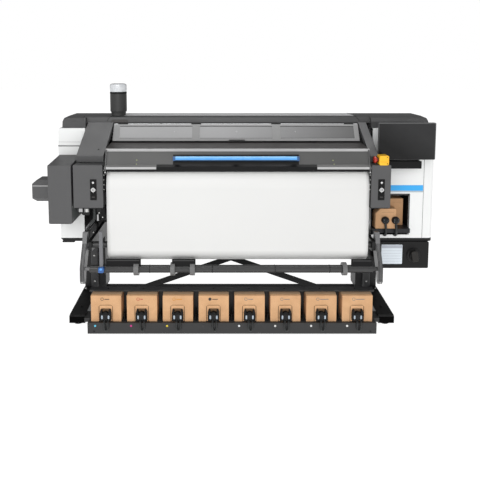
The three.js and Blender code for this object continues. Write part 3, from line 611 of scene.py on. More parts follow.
def slots_row(kit, axis, face, u0, u1, v0, v1, count, material, proud=1.2, upright=False):
    """A row of louvres on a flat face at that place along axis: raised flat blades over a dark field."""
    out = 1 if axis[0] != "-" else -1
    letter = axis[-1]
    near, far = sorted((face - out * 0.5, face + out * 0.4))
    kit.add(prism(letter, rounded(u0, u1, v0, v1, 4), near, far), BLACK)
    step = ((u1 - u0) if upright else (v1 - v0)) / count
    for i in range(count):
        a = (u0 if upright else v0) + (i + 0.18) * step
        b = a + step * 0.5
        cu = (a, b, v0 + 4, v1 - 4) if upright else (u0 + 4, u1 - 4, a, b)
        lo, hi = sorted((face, face + out * (proud + 1.0)))
        kit.add(prism(letter, rounded(*cu, min(step * 0.2, 2.5), 2), lo, hi), material, 0.4, 1)


# ---- camera, floor and light ----
CAMERA_PLACE = (-0.120, -3.370, 1.661)
CAMERA_TILT = 85.0
CAMERA_LENS = 37.8
CAMERA_SHIFT = (0.0417, -0.2727)


def camera():
    data = bpy.data.cameras.new("camera")
    data.sensor_width = 36
    data.lens = CAMERA_LENS
    data.shift_x, data.shift_y = CAMERA_SHIFT
    made = bpy.data.objects.new("camera", data)
    made.location = CAMERA_PLACE
    made.rotation_euler = (math.radians(CAMERA_TILT), 0, 0)
    bpy.context.scene.collection.objects.link(made)
    bpy.context.scene.camera = made


def area_light(name, place, aim, size, power, diffuse=True, glossy=True):
    data = bpy.data.lights.new(name, "AREA")
    data.shape = "RECTANGLE"
    data.size, data.size_y = size
    data.energy = power
    made = bpy.data.objects.new(name, data)
    made.location = place
    made.rotation_mode = "QUATERNION"
    made.rotation_quaternion = (Vector(aim) - Vector(place)).to_track_quat("-Z", "Y")
    made.visible_diffuse = diffuse
    made.visible_glossy = glossy
    bpy.context.scene.collection.objects.link(made)


WORLD_FRONT = 0.50  # how bright the studio is on the person's side
WORLD_BACK = 0.20  # behind the machine
WORLD_ABOVE = 0.15  # and overhead, on top of either


def studio():
    """A soft front light, a strip overhead that only shows in reflections, and a plain fill behind."""
    world = bpy.data.worlds.new("studio")
    bpy.context.scene.world = world
    world.use_nodes = True
    tree = world.node_tree
    back = tree.nodes["Background"]
    where = tree.nodes.new("ShaderNodeTexCoord")
    split = tree.nodes.new("ShaderNodeSeparateXYZ")
    tree.links.new(where.outputs["Generated"], split.inputs[0])
    level = ramp(tree, split.outputs["Y"], -0.5, 0.4, WORLD_FRONT, WORLD_BACK)
    above = ramp(tree, split.outputs["Z"], 0.35, 0.9, 0.0, WORLD_ABOVE)
    total = maths(tree, "ADD", level, above)
    seen = tree.nodes.new("ShaderNodeLightPath")
    colour = mixed(tree, seen.outputs["Is Camera Ray"], (0, 0, 0), (1, 1, 1))
    tree.links.new(total, colour.node.inputs[6])
    tree.links.new(colour, back.inputs["Color"])
    area_light("key", (-0.7, -4.4, 2.5), (0, 0, 0.75), (3.6, 2.0), 85)
    area_light("overhead_strip", (0, -0.3, 3.9), (0, -0.1, 0), (4.0, 1.2), 75, diffuse=False)
    area_light("rear_fill", (0.3, 4.4, 2.2), (0, 0, 0.8), (3.2, 1.8), 42, glossy=False)
    bpy.context.scene.view_settings.view_transform = "Standard"


def floor_material():
    """A pale floor that glows a little, so that it runs into the white behind it."""
    material, tree, shader = principled("studio_floor")
    vector = placed(tree)
    drift = noise(tree, vector, 900, 2.0)
    tree.links.new(mixed(tree, drift, (0.40, 0.40, 0.40), (0.43, 0.43, 0.43)), shader.inputs["Base Color"])
    tree.links.new(ramp(tree, drift, 0.3, 0.7, 0.8, 0.9), shader.inputs["Roughness"])
    shader.inputs["Specular IOR Level"].default_value = 0.0
    shader.inputs["Emission Color"].default_value = (1, 1, 1, 1)
    shader.inputs["Emission Strength"].default_value = 0.90
    return material


def floor():
    shape = bmesh.new()
    bmesh.ops.create_grid(shape, x_segments=1, y_segments=1, size=30)
    data = bpy.data.meshes.new("floor")
    shape.to_mesh(data)
    shape.free()
    data.materials.append(floor_material())
    made = bpy.data.objects.new("floor", data)
    bpy.context.scene.collection.objects.link(made)


# ---- stand ----
BEAM_FACES = (92, 212)  # the beam's front and back; its box also holds what is joined to it
REAR_CABLE = [(-780, 222, 590), (-500, 224, 586), (-100, 224, 582), (300, 224, 586), (700, 222, 592)]


def stand():
    """Feet, legs, levelling feet, braces, cross tube and the main beam."""
    post_y0 = Box("chassis_beam").y0  # a leg's own box also holds its arm
    for side in ("left", "right"):
        foot, leg = Box(f"{side}_foot"), Box(f"{side}_leg")
        out = -1 if side == "left" else 1
        outside = leg.x0 if out < 0 else leg.x1

        def foot_detail(kit):
            for y in (foot.y0 - 1.5, foot.y1 - 6):
                kit.add(prism("y", rounded(foot.x0 + 1, foot.x1 - 1, foot.z0 + 1, 55, 5), y, y + 7.5),
                        DEEP_BLACK, 1.5)
            kit.add(box(foot.x0 + 5, foot.x1 - 5, post_y0 - 44, leg.y1 + 44, foot.z1 - 3, foot.z1 + 6),
                    FRAME, 1.5)
            for x in (foot.x0 + 20, foot.x1 - 20):
                for y in (post_y0 - 26, leg.y1 + 26):
                    kit.hex_bolt(x, y, foot.z1 + 6, "z", 8)
            for y in (-160, -60):
                kit.bolt(foot.x, y, foot.z1 - 12, "z", 7, SATIN_BLACK)

        def leg_detail(kit):
            duct = (leg.x - 26, leg.x + 26)
            z0, z1 = foot.z1 + 14, leg.z1 - 6
            kit.add(prism("z", rounded(*duct, post_y0 - 20, post_y0 + 4, 9), z0, z1), DUCT, 1.0)
            for z in (z0 + 40, (z0 + z1) / 2, z1 - 60):
                kit.bolt(leg.x, post_y0 - 20, z, "-y", 6)
            for z in (z1 - 30, z1 - 120):
                kit.hex_bolt(outside, post_y0 + 90, z, "-x" if out < 0 else "x", 9)
            plate = rounded(post_y0 + 30, post_y0 + 95, 250, 420, 10)
            kit.add(prism("x", plate, *sorted((outside, outside + out * 1.5))), FRAME, 0.5)

        dressed(f"{side}_foot", FRAME, "frame_paint", 4, 3, extra=foot_detail)
        dressed(f"{side}_leg", LEG, "grey_paint", 4, 3, extra=leg_detail)
        for end in ("front", "rear"):
            node = f"{side}_{end}_levelling_foot"
            pad = Box(node)
            kit = Kit(f"{node}_finish")
            dish = [(0, 0), (32, 0), (34, 1.5), (34, 5), (31, 7), (20, 9), (0, 9)]
            kit.add(lathe(dish, (pad.x, pad.y, 0)), RUBBER, 0.5)
            kit.add(lathe([(0, 8), (15, 8), (15, 12.6), (0, 12.6)], (pad.x, pad.y, 0), sides=6), ZINC, 0.5)
            kit.place("machine", "pad_rubber", [node])
    dressed("lower_cross_tube", FRAME, "frame_paint", 1)
    for name in ("rising_brace", "falling_brace"):
        brace = Box(name)

        def brace_detail(kit):
            low_x = brace.x0 + 30 if name == "rising_brace" else brace.x1 - 30
            high_x = brace.x1 - 30 if name == "rising_brace" else brace.x0 + 30
            for x, z in ((low_x, brace.z0 + 28), (high_x, brace.z1 - 28)):
                kit.hex_bolt(x, brace.y0, z, "-y", 8)
            kit.hex_bolt(brace.x, brace.y0, brace.z, "-y", 7)

        dressed(name, FRAME, "frame_paint", 1, extra=brace_detail)

    beam = Box("chassis_beam")

    def beam_detail(kit):
        front, back = BEAM_FACES
        for x in (beam.x0 + 2, beam.x1 - 8):
            kit.add(prism("x", rounded(front + 1, back - 1, beam.z0 + 1, beam.z1 - 1, 6), x - 2, x + 8),
                    SATIN_BLACK, 1)
        for k in range(9):
            x = beam.x0 + 130 + k * (beam.x1 - beam.x0 - 260) / 8
            kit.hex_bolt(x, back, beam.z1 - 25, "y", 8)
            kit.hex_bolt(x, front, beam.z1 - 25, "-y", 8)
        kit.add(tube(REAR_CABLE, 7), HOSE)
        for x in (-620, -300, 0, 300, 560):
            kit.add(box(x - 6, x + 6, 211, 234, 574, 600), BLACK, 2)

    dressed("chassis_beam", FRAME, "frame_paint", 1.2, extra=beam_detail)


# ---- ink shelf and boxes ----
BOX_COUNT = 8
CARTON = {"width": 186, "depth": 96, "height": 165}
CUTOUT = (48, 134)  # the front window's sides, from the carton's left side
CUTOUT_TOP = 190
NOTCH = 10  # cut off the window's top corners
FITTING_X = 92  # the outlet fitting's middle, from the carton's left side
FITTING_FOOT = 98
MARKS = [(PRINT, 30), (PRINT_RED, 16), (PRINT_AMBER, 34), (PRINT, 34), (PRINT_GREY, 30), (PRINT_GREY, 34),
         (PRINT_GREY, 52), (PRINT_GREY, 52)]  # each carton's mark and the length of its dash
SOLID_MARK = 4  # the carton whose mark is a filled dot


def ink_shelf():
    shelf = Box("ink_shelf")

    def detail(kit):
        front = shelf.y0
        for i in range(BOX_COUNT):
            left = Box(f"ink_box_{i + 1}").x0
            dot = [(0, -1), (6.5, -1), (6.5, 1.2), (5.5, 1.8), (0, 1.8)]
            kit.add(lathe(dot, (left + 28, front, 66), "-y", 24), INKS[i])
            kit.bolt(left + CARTON["width"] / 2, -312, shelf.z1, "z", 5, SATIN_BLACK)
        for x in (shelf.x0 + 90, shelf.x1 - 90):
            kit.bolt(x, front, 30, "-y", 5, SATIN_BLACK)
        for i in range(BOX_COUNT - 1):
            gap = Box(f"ink_box_{i + 1}").x0 + CARTON["width"] + 17.5
            kit.add(box(gap - 1.5, gap + 1.5, -380, -290, 86, 128), FRAME, 1)

    dressed("ink_shelf", SHELF_PAINT, "frame_paint", 0.9, extra=detail)


def ink_box(number):
    """A carton with its outlet fitting, the fitting's hose loop and a plain printed mark."""
    node = f"ink_box_{number}"
    b = Box(node)
    x0, x1 = b.x0, b.x0 + CARTON["width"]
    y1, z0, z1 = b.y1, b.z0 + 50, b.z1
    y0, z0 = y1 - CARTON["depth"], z1 - CARTON["height"]
    u0, u1 = x0 + CUTOUT[0], x0 + CUTOUT[1]
    kit = Kit(f"{node}_finish")

    opening = [(u0, z0 - 5), (u1, z0 - 5), (u1, CUTOUT_TOP - NOTCH), (u1 - NOTCH, CUTOUT_TOP)]
    opening += [(u0 + NOTCH, CUTOUT_TOP), (u0, CUTOUT_TOP - NOTCH)]
    carton = carve(box(x0, x1, y0, y1, z0, z1), prism("y", opening, y0 - 5, y0 + 26))

    def board(c):
        cut = y0 + 0.5 < c.y < y0 + 27 and u0 - 1 < c.x < u1 + 1 and c.z < CUTOUT_TOP + 1
        return KRAFT_DARK if cut else KRAFT

    kit.add(carton, board, 1.6, 2)
    # top flaps meet in the middle under a strip of tape
    mid = (y0 + y1) / 2
    for a, c in ((y0 + 1.5, mid - 0.8), (mid + 0.8, y1 - 1.5)):
        kit.add(box(x0 + 1.5, x1 - 1.5, a, c, z1 - 1.5, z1 + 0.9), KRAFT, 0.6, 1)
    kit.add(box(x0 - 0.4, x1 + 0.4, mid - 24, mid + 24, z1 - 40, z1 + 1.3), TAPE, 0.5, 1)

    # the flap folded in behind the window, over a dark plate whose rim shows round it: painted shade inside
    # the carton
    def window_shape(inset):
        top, side, r = CUTOUT_TOP - inset, u1 - inset, 8
        return [(u0 + inset, z0 + 2), (side, z0 + 2), *arc(side - r, top - r, r, 0, 90, 4),
                *arc(u0 + inset + r, top - r, r, 90, 180, 4)]

    kit.add(prism("y", window_shape(0.5), y0 + 5, y0 + 7), KRAFT_PAINTED_SHADE_INSIDE)
    kit.add(prism("y", window_shape(3.6), y0 + 0.8, y0 + 4), KRAFT_PALE, 0.5, 1)
    # a dark rounded plate under the flap: painted shade inside the carton
    kit.add(prism("y", rounded(u0 + 14, u1 - 14, z0 + 12, CUTOUT_TOP - 22, 9), y0 - 0.4, y0 + 2),
            KRAFT_PAINTED_SHADE_INSIDE, 0.3, 1)
    # the outlet fitting: a housing with two prongs, and on its face two black-rimmed pale ovals that are
    # painted highlights
    cx = x0 + FITTING_X
    top = CUTOUT_TOP - 44
    crown = arc(cx, top - 10, 19, 20, 160, 8)
    housing = [(cx - 35, FITTING_FOOT), (cx + 35, FITTING_FOOT), (cx + 35, top), (cx + 30, top + 20)]
    housing += [(cx + 22, top + 22), (cx + 18, top)]
    housing += [*crown, (cx - 18, top), (cx - 22, top + 22), (cx - 30, top + 20), (cx - 35, top)]
    kit.add(prism("y", housing, y0 - 21, y0 + 20), BLACK, 2.0, 2)
    kit.add(prism("y", rounded(cx - 15, cx + 15, 104, top - 6, 7), y0 - 22, y0 - 18), SATIN_BLACK, 1.0)
    for dx in (-20, 20):
        kit.add(prism("y", rounded(cx + dx - 5, cx + dx + 5, 110, 134, 4.8), y0 - 22, y0 - 19.5), CONNECTOR_PAINTED_HIGHLIGHT,
                0.8)
        kit.add(prism("y", rounded(cx + dx - 7, cx + dx + 7, 107, 137, 6.5), y0 - 21.6, y0 - 19), BLACK,
                0.5)
    # the hose drops in front of the shelf and turns back up
    left, right, y = cx - 5, cx + 17, b.y0 + 5.5
    route = [(left, y0 - 14, 106), (left, y, 92), (left - 1, y, 66), (left + 3, y, 46), (cx + 6, y, 40)]
    route += [(right - 3, y, 46), (right + 1, y, 66), (right, y, 92), (right, y0 - 14, 106)]
    kit.add(tube(route, 5.2, 14, 5), HOSE)
    for x in (left, right):
        kit.add(rod("z", 92, 103, 7.5, x, y + 2, 20, 1), SATIN_BLACK)
    # a plain printed ring and dash
    mark, length = MARKS[number - 1]
    hollow = 0 if number == SOLID_MARK else 7.2
    ring = [(hollow, 0), (9.8, 0), (9.8, 0.35), (hollow, 0.35)]
    kit.add(lathe(ring, (x0 + 70, y0, z1 - 22), "-y", 28), mark)
    kit.add(box(x0 + 84, x0 + 84 + length, y0 - 0.35, y0 + 0.2, z1 - 25, z1 - 20.5), mark)
    kit.place(f"ink_{number}", "carton", [node])


# ---- engine: what the window and the door uncover ----
def engine():
    """The tray, platen, roller, rail and carriage, and the tray's back panel with its vents."""
    tray = Box("engine_tray")

    def back_panel(kit):
        back = tray.y1
        xs = [tray.x0 + k * (tray.x1 - tray.x0) / 3 for k in range(4)]
        for a, b in zip(xs, xs[1:]):
            kit.add(prism("y", rounded(a + 8, b - 8, tray.z0 + 14, tray.z1 - 12, 8), back - 1, back + 2.0),
                    COVER, 0.8)
            for x in (a + 24, b - 24):
                for z in (tray.z0 + 30, tray.z1 - 28):
                    kit.bolt(x, back + 2, z, "y", 6, SATIN_BLACK)
        for a, b in zip(xs, xs[1:]):
            slots_row(kit, "y", back + 2, a + 90, b - 90, tray.z0 + 60, tray.z0 + 150, 7, COVER)
        for x in (xs[1] + 160, xs[1] + 460):
            z = tray.z1 - 130
            for r in (64, 52, 40, 28, 16):
                guard = [(r - 2, 0), (r + 1, 0), (r + 1, 4), (r - 2, 4)]
                kit.add(lathe(guard, (x, back + 2, z), "y", 48), BLACK)
            for k in range(4):
                arm = box(x - 66, x + 66, back + 4, back + 7, z - 1.5, z + 1.5)
                kit.add(turned_about(arm, (x, back, z), "y", 45 * k), BLACK)

    dressed("engine_tray", FRAME, "frame_paint", 0.8, extra=back_panel)
    platen = Box("platen")

    def platen_detail(kit):
        for k in range(26):
            x = platen.x0 + 60 + k * (platen.x1 - platen.x0 - 120) / 25
            for y in (-150, -90, -30):
                kit.add(lathe([(0, 0), (4, 0), (4, 0.4), (0, 0.4)], (x, y, platen.z1), "z", 12), BLACK)

    dressed("platen", STEEL, "bare_metal", 0.8, extra=platen_detail)
    roller = Box("drive_roller")

    def roller_detail(kit):
        for k in range(14):
            x = roller.x0 + 160 + k * (roller.x1 - roller.x0 - 320) / 13
            kit.add(rod("x", x, x + 46, 22.6, roller.y, roller.z, 32, 1), RUBBER)

    dressed("drive_roller", STEEL, "pad_rubber", 0.6, body="feed_roller", extra=roller_detail)
    rail = Box("carriage_rail")

    def rail_detail(kit):
        kit.add(box(rail.x0 + 12, rail.x1 - 12, rail.y0 - 3, rail.y0 + 0.5, 1134, 1146), ZINC, 0.6)
        kit.add(box(rail.x0 + 12, rail.x1 - 12, rail.y0 - 8, rail.y0 - 6.6, 1170, 1182), RUBBER, 0.3)

    dressed("carriage_rail", ALLOY, "bare_metal", 0.8, extra=rail_detail)
    head = Box("print_carriage")

    def head_detail(kit):
        for k in range(4):
            x = head.x0 + 36 + k * 60
            kit.add(prism("z", rounded(x, x + 40, -20, 90, 6), head.z1 - 2, head.z1 + 5), SATIN_BLACK, 1.5)
            kit.add(box(x + 4, x + 36, -26, 96, head.z0 - 5, head.z0 + 1), ZINC, 1)
        kit.add(box(head.x0 + 10, head.x1 - 10, head.y0 - 0.8, head.y0 + 1, 1100, 1120), LEDGE, 0.5)

    dressed("print_carriage", COVER, "black_plastic", 3, 3, body="carriage", extra=head_detail)


# ---- covers ----
TRIM_TOP = 514  # the dark skirt along the bottom of the white covers
BAY_X = (884, 1130)  # the service bay's opening
BAY_Z = (535, 807)
ARM_SIDE = (-1022, -1003)  # the strip between the left covers and the arm


def split_at(shape, z):
    """Cuts the faces along a level, so that each side can have its own finish."""
    bmesh.ops.bisect_plane(shape, geom=[*shape.verts, *shape.edges, *shape.faces], plane_co=(0, 0, z),
                           plane_no=(0, 0, 1))
    return shape


def white_cover(node, extra, bevel, choose=None):
    """A white cover over its dark skirt. choose may give a face another finish."""
    def paint(c):
        other = choose(c) if choose else None
        return other or (SATIN_BLACK if c.z < TRIM_TOP else WHITE)

    kit = Kit(f"{node}_finish")
    kit.add(split_at(cad(node), TRIM_TOP), paint, bevel, 3)
    extra(kit)
    kit.place("machine", "white_cover", [node])


def covers():
    """The white covers at both ends, the strip from the left ones to the arm, and the service bay."""
    lower, upper, right = Box("left_lower_cover"), Box("left_upper_cover"), Box("right_cover")

    def lower_detail(kit):
        kit.add(box(lower.x0 - 0.3, lower.x1, lower.y0 - 0.8, lower.y0 + 1, lower.z1 - 5, lower.z1 + 1.5),
                COVER, 0.3, 1)
        slots_row(kit, "-x", lower.x0, -40, 330, 600, 720, 8, WHITE)
        kit.add(prism("x", rounded(-70, 370, 540, 1110, 14), lower.x0 - 0.5, lower.x0 + 0.3), WHITE, 0.4, 1)
        for y, z in ((-50, 560), (350, 560), (-50, 1090), (350, 1090)):
            kit.bolt(lower.x0, y, z, "-x", 6, SATIN_BLACK)
        slots_row(kit, "y", lower.y1, lower.x0 + 30, lower.x1 - 24, 760, 900, 9, WHITE)
        for x in (lower.x0 + 22, lower.x1 - 16):
            for z in (560, 1100):
                kit.bolt(x, lower.y1, z, "y", 6, SATIN_BLACK)

    def upper_detail(kit):
        kit.add(box(upper.x0 + 3, upper.x1 - 1, upper.y0 - 0.6, upper.y0 + 1, 1158, 1160), FRAME_GREY, 0.2,
                1)
        kit.add(box(upper.x0 - 0.5, upper.x1, upper.y0 + 4, upper.y1 - 4, upper.z0 - 0.8, upper.z0 + 1.2),
                COVER, 0.2, 1)

    white_cover("left_lower_cover", lower_detail, 3)
    white_cover("left_upper_cover", upper_detail, 3)
    # both left covers run on to the arm
    kit = Kit("left_cover_return")
    for z0, z1 in ((1080, upper.z0 - 2), (upper.z0 + 1, upper.z1)):
        kit.add(box(*ARM_SIDE, lower.y0 + 1, lower.y0 + 30, z0, z1), WHITE, 1)
    kit.add(box(lower.x0 + 8, -1090, lower.y0 + 2, lower.y1 - 6, lower.z0 - 11, lower.z0 + 3), SATIN_BLACK,
            5, 3)
    kit.place("machine", "white_cover")

    shelf_top = Box("rear_cartridge").z0
    front = lower.y0  # the right cover's own box also holds the display's bracket and the bay's shelf

    def inside(c):
        if c.y < front - 1 and c.z > 1000:
            return BLACK
        if c.y < front - 1 or (c.y < -10 and abs(c.z - shelf_top) < 2):
            return BAY_SHELF
        if BAY_X[0] < c.x < BAY_X[1] and front + 1.5 < c.y < 61 and BAY_Z[0] - 4 < c.z < BAY_Z[1] + 4:
            return BLACK
        return None

    def right_detail(kit):
        seam = right.x1 - 71
        kit.add(box(seam - 1.3, seam + 1.3, front - 0.5, front + 1, TRIM_TOP, right.z1 - 1), COVER, 0.3, 1)
        stripe = (Box("right_tower").x1 - 20, seam - 3)
        kit.add(box(*stripe, front - 1.2, front + 1, 834, 871), BLUE_PANEL, 0.5)
        kit.add(box(*stripe, front - 1.0, front + 1, 823, 833.4), PALE_BLUE, 0.5)
        kit.add(box(right.x0 + 0.2, BAY_X[0] + 3, front - 0.8, front + 1, TRIM_TOP, BAY_Z[1] + 7), BLACK,
                0.3, 1)
        kit.add(box(BAY_X[0], BAY_X[1] + 6, front - 0.8, front + 2, BAY_Z[1] - 1, BAY_Z[1] + 7),
                SATIN_BLACK, 0.5)
        kit.add(box(BAY_X[1] - 1, BAY_X[1] + 6, front - 0.8, front + 2, 537, BAY_Z[1]), SATIN_BLACK, 0.5)
        kit.add(prism("y", [(BAY_X[1] - 16, BAY_Z[1]), (BAY_X[1], BAY_Z[1]), (BAY_X[1], BAY_Z[1] - 16),
                            *arc(BAY_X[1] - 16, BAY_Z[1] - 16, 16, 0, 90, 6)], front - 0.9, front + 4),
                SATIN_BLACK)
        # side service door with its pull, and vents
        kit.add(prism("x", rounded(-50, 350, 560, 1190, 16), right.x1 - 0.5, right.x1 + 0.8), WHITE, 0.5, 2)
        kit.add(prism("x", rounded(255, 330, 840, 900, 10), right.x1, right.x1 + 1.6), SATIN_BLACK, 0.6)
        kit.add(prism("x", rounded(262, 323, 846, 870, 8), right.x1 + 1, right.x1 + 3), COVER, 0.8)
        slots_row(kit, "x", right.x1 + 0.8, -10, 300, 600, 720, 9, WHITE)
        for y, z in ((-30, 580), (330, 580), (-30, 1170), (330, 1170)):
            kit.bolt(right.x1 + 0.8, y, z, "x", 6, SATIN_BLACK)
        slots_row(kit, "y", right.y1, right.x0 + 60, right.x1 - 60, 900, 1080, 11, WHITE)
        kit.add(prism("y", rounded(right.x0 + 70, right.x0 + 230, 600, 700, 6), right.y1 - 0.5,
                      right.y1 + 2), COVER, 0.8)
        for k in range(3):
            x = right.x0 + 98 + 50 * k
            kit.add(lathe([(0, 0), (17, 0), (17, 7), (13, 9), (13, 4), (0, 4)], (x, right.y1 + 1.5, 650),
                          "y", 24), BLACK)
        for x in (right.x0 + 20, right.x1 - 20):
            for z in (560, 860, 1200):
                kit.bolt(x, right.y1, z, "y", 6, SATIN_BLACK)

    white_cover("right_cover", right_detail, 0.9, inside)
    top_cover()


TOP_Z = 1325.6  # just over the top cover's flat
SLOPE_START, SLOPE_END = (190, 1319), (400, 1262)  # y and z of the slope behind it


def top_cover():
    """The grey top cover: its pale top panel, whose pale grey is partly its own and partly painted
    highlight, the seams of its end caps, and vents behind.
    """
    seams = (Box("left_arm_cover").x1 - 45, Box("right_arm_cover").x0 + 10)
    kit = Kit("top_cover_finish")
    kit.add(cad("top_cover"), COVER, 3.5, 3)
    kit.add(prism("x", [(-24, 1325.3), (150, 1325.3), (188, 1319.6), (188, 1318.4), (150, 1324.0),
                        (-24, 1324.0)],
                  seams[0] + 22, seams[1] - 22), PALE_TOP_AND_PAINTED_HIGHLIGHT, 0.4, 1)
    # the left end cap reaches the arm
    filler = [(-89, 1250.5), (-89, 1291), (-75, 1313), (-52, 1318), (-52, 1250.5)]
    kit.add(prism("x", filler, ARM_SIDE[0], ARM_SIDE[1] + 2), COVER, 1.5)
    # the seams slant up over the front edge
    for x, lean in ((seams[0], 28), (seams[1], -28)):
        line = [(x, -51.5, 1292), (x + lean * 0.4, -49.5, 1308), (x + lean * 0.8, -38, 1322),
                (x + lean, -26, TOP_Z)]
        line += [(x + lean * 1.1, 60, TOP_Z), (x + lean * 1.1, 150, TOP_Z)]
        kit.add(tube(line, 1.5, 6, 3), BLACK)
    (y0, z0), (y1, z1) = SLOPE_START, SLOPE_END
    for k in range(4):
        x0 = -700 + k * 380
        for i in range(7):
            y = 218 + i * 18
            z = z0 - (y - y0) * (z0 - z1) / (y1 - y0)
            kit.add(box(x0, x0 + 260, y, y + 7, z - 2, z + 0.8), BLACK, 0.6, 1)
    for x in (-1000, -400, 200, 700, 1100):
        kit.bolt(x, 385, 1266.5, "z", 6, SATIN_BLACK)
    left, right = -845, -727  # a small plate by the left seam
    plate = [(left, 1281), (right, 1281), (right - 6, 1301), (left + 10, 1301)]
    kit.add(prism("y", plate, -52.5, -49), LEDGE, 0.8)
    kit.place("machine", "grey_cover", ["top_cover"])


def arms_and_ledge():
    """The sloping arm covers and the ledge between them."""
    right = Box("right_arm_cover")

    def left_detail(kit):
        kit.bolt(-884, -233, 1131, "-y", 4.5, BLACK)

    def right_detail(kit):
        slot = [(-112, 1221), (-105, 1226), (-52, 1272), (-62, 1263)]
        kit.add(prism("x", slot, right.x1 - 8, right.x1 - 2), BLACK)

    dressed("left_arm_cover", COVER_LIGHT, "grey_cover", 2.5, 3, extra=left_detail)
    dressed("right_arm_cover", COVER_LIGHT, "grey_cover", 2.5, 3, extra=right_detail)
    ledge = Box("front_ledge")

    def ledge_detail(kit):
        kit.add(box(ledge.x0 + 2, ledge.x1 - 2, ledge.y1 - 1, ledge.y1 + 0.8, ledge.z1 - 12, ledge.z1 - 2),
                BLACK, 0.3, 1)
        slope = [(-129, 1156.6), (-186, 1151.9), (-186, 1149.6), (-129, 1154.4)]
        kit.add(prism("x", slope, ledge.x0 + 1, ledge.x1 - 1), LEDGE_STRIP, 0.3, 1)
        for x in (-640, -180, 280, 660):
            kit.bolt(x, -205, 1149.5, "z", 4.5, SATIN_BLACK)

    dressed("front_ledge", LEDGE, "bare_metal", 0.9, extra=ledge_detail)


# ---- window, door and handle ----
TAGS = [(-629, 1082), (-630, 1058), (571, 1080), (577, 1058)]  # small tags on the door, x and z
PANES = [(-778, -301), (-252, 222), (275, 758)]


WINDOW_TOP, WINDOW_FOOT = Vector((-64, 1272)), Vector((-122, 1168))  # y and z of its outer face's ends
WINDOW_PIVOT = (-60, 1271.5)
WINDOW_SPAN = 118


def along_window(t, out):
    """The y and z of a point t millimetres down the window's outer face and out towards the person."""
    down = (WINDOW_FOOT - WINDOW_TOP).normalized()
    normal = Vector((down.y, -down.x))
    p = WINDOW_TOP + down * t + normal * out
    return p.x, p.y


def window():
    """The window's frame, three panes, hinge, bail handle and three round marks."""
    b = Box("print_window")
    span = WINDOW_SPAN

    def slab(t0, t1, low, high, x0, x1):
        corners = ((t0, low), (t1, low), (t1, high), (t0, high))
        return prism("x", [along_window(*c) for c in corners], x0, x1)

    kit = Kit("print_window_finish")
    pane_t = (15, span - 18)
    bars = [(b.x0, PANES[0][0]), (PANES[0][1], PANES[1][0]), (PANES[1][1], PANES[2][0]),
            (PANES[2][1], b.x1)]
    for x0, x1 in bars:
        kit.add(slab(1, span, -6, 1.5, x0, x1), FRAME_GREY, 1.2)
    kit.add(slab(1, pane_t[0], -6, 2.0, b.x0, b.x1), FRAME_GREY, 1.2)
    kit.add(slab(pane_t[1], span, -6, 2.0, b.x0, b.x1), FRAME_GREY, 1.2)
    for x0, x1 in PANES:
        kit.add(slab(pane_t[0] - 2, pane_t[1] + 2, -5, -1.5, x0 - 2, x1 + 2), PANE_PAINTED_REFLECTION, 0.5)
        for t0, t1 in ((pane_t[0] - 0.5, pane_t[0] + 2), (pane_t[1] - 2, pane_t[1] + 0.5)):
            kit.add(slab(t0, t1, -3, 0.4, x0, x1), BLACK, 0.3, 1)
    y, z = along_window(span - 5, 2.0)
    bail = [(-60, y - 1, z), (-52, y - 12, z + 2), (32, y - 12, z + 2), (40, y - 1, z)]
    kit.add(tube(bail, 3, 10, 3), SATIN_BLACK)
    for x in (b.x0 + 60, -277, 249, b.x1 - 60):
        kit.add(rod("x", x - 32, x + 32, 6.5, *WINDOW_PIVOT, 24, 1), SATIN_BLACK)
    kit.add(rod("x", b.x0 + 1, b.x1 - 1, 4.5, *WINDOW_PIVOT, 16, 0.5), STEEL)
    for x, r in ((-419, 3), (-12, 4.5), (374, 3)):
        yy, zz = along_window(52, -1.4)
        ring = lathe([(r - 1, -0.6), (r, -0.6), (r, 0.4), (r - 1, 0.4)], (0, 0, 0), "z", 20)
        ring.transform(Matrix.Translation((x, yy, zz)) @ Matrix.Rotation(math.radians(61), 4, "X"))
        kit.add(ring, KEY_WHITE)
    kit.place("window", "window_frame", ["print_window"])


DOOR_TOP, DOOR_FOOT = (-308, 1138), (-336, 1056)  # y and z of its sloping face's ends


def door_line(z):
    """The y of the door's sloping face at a height."""
    (y0, z0), (y1, z1) = DOOR_TOP, DOOR_FOOT
    return y0 + (z0 - z) / (z0 - z1) * (y1 - y0)


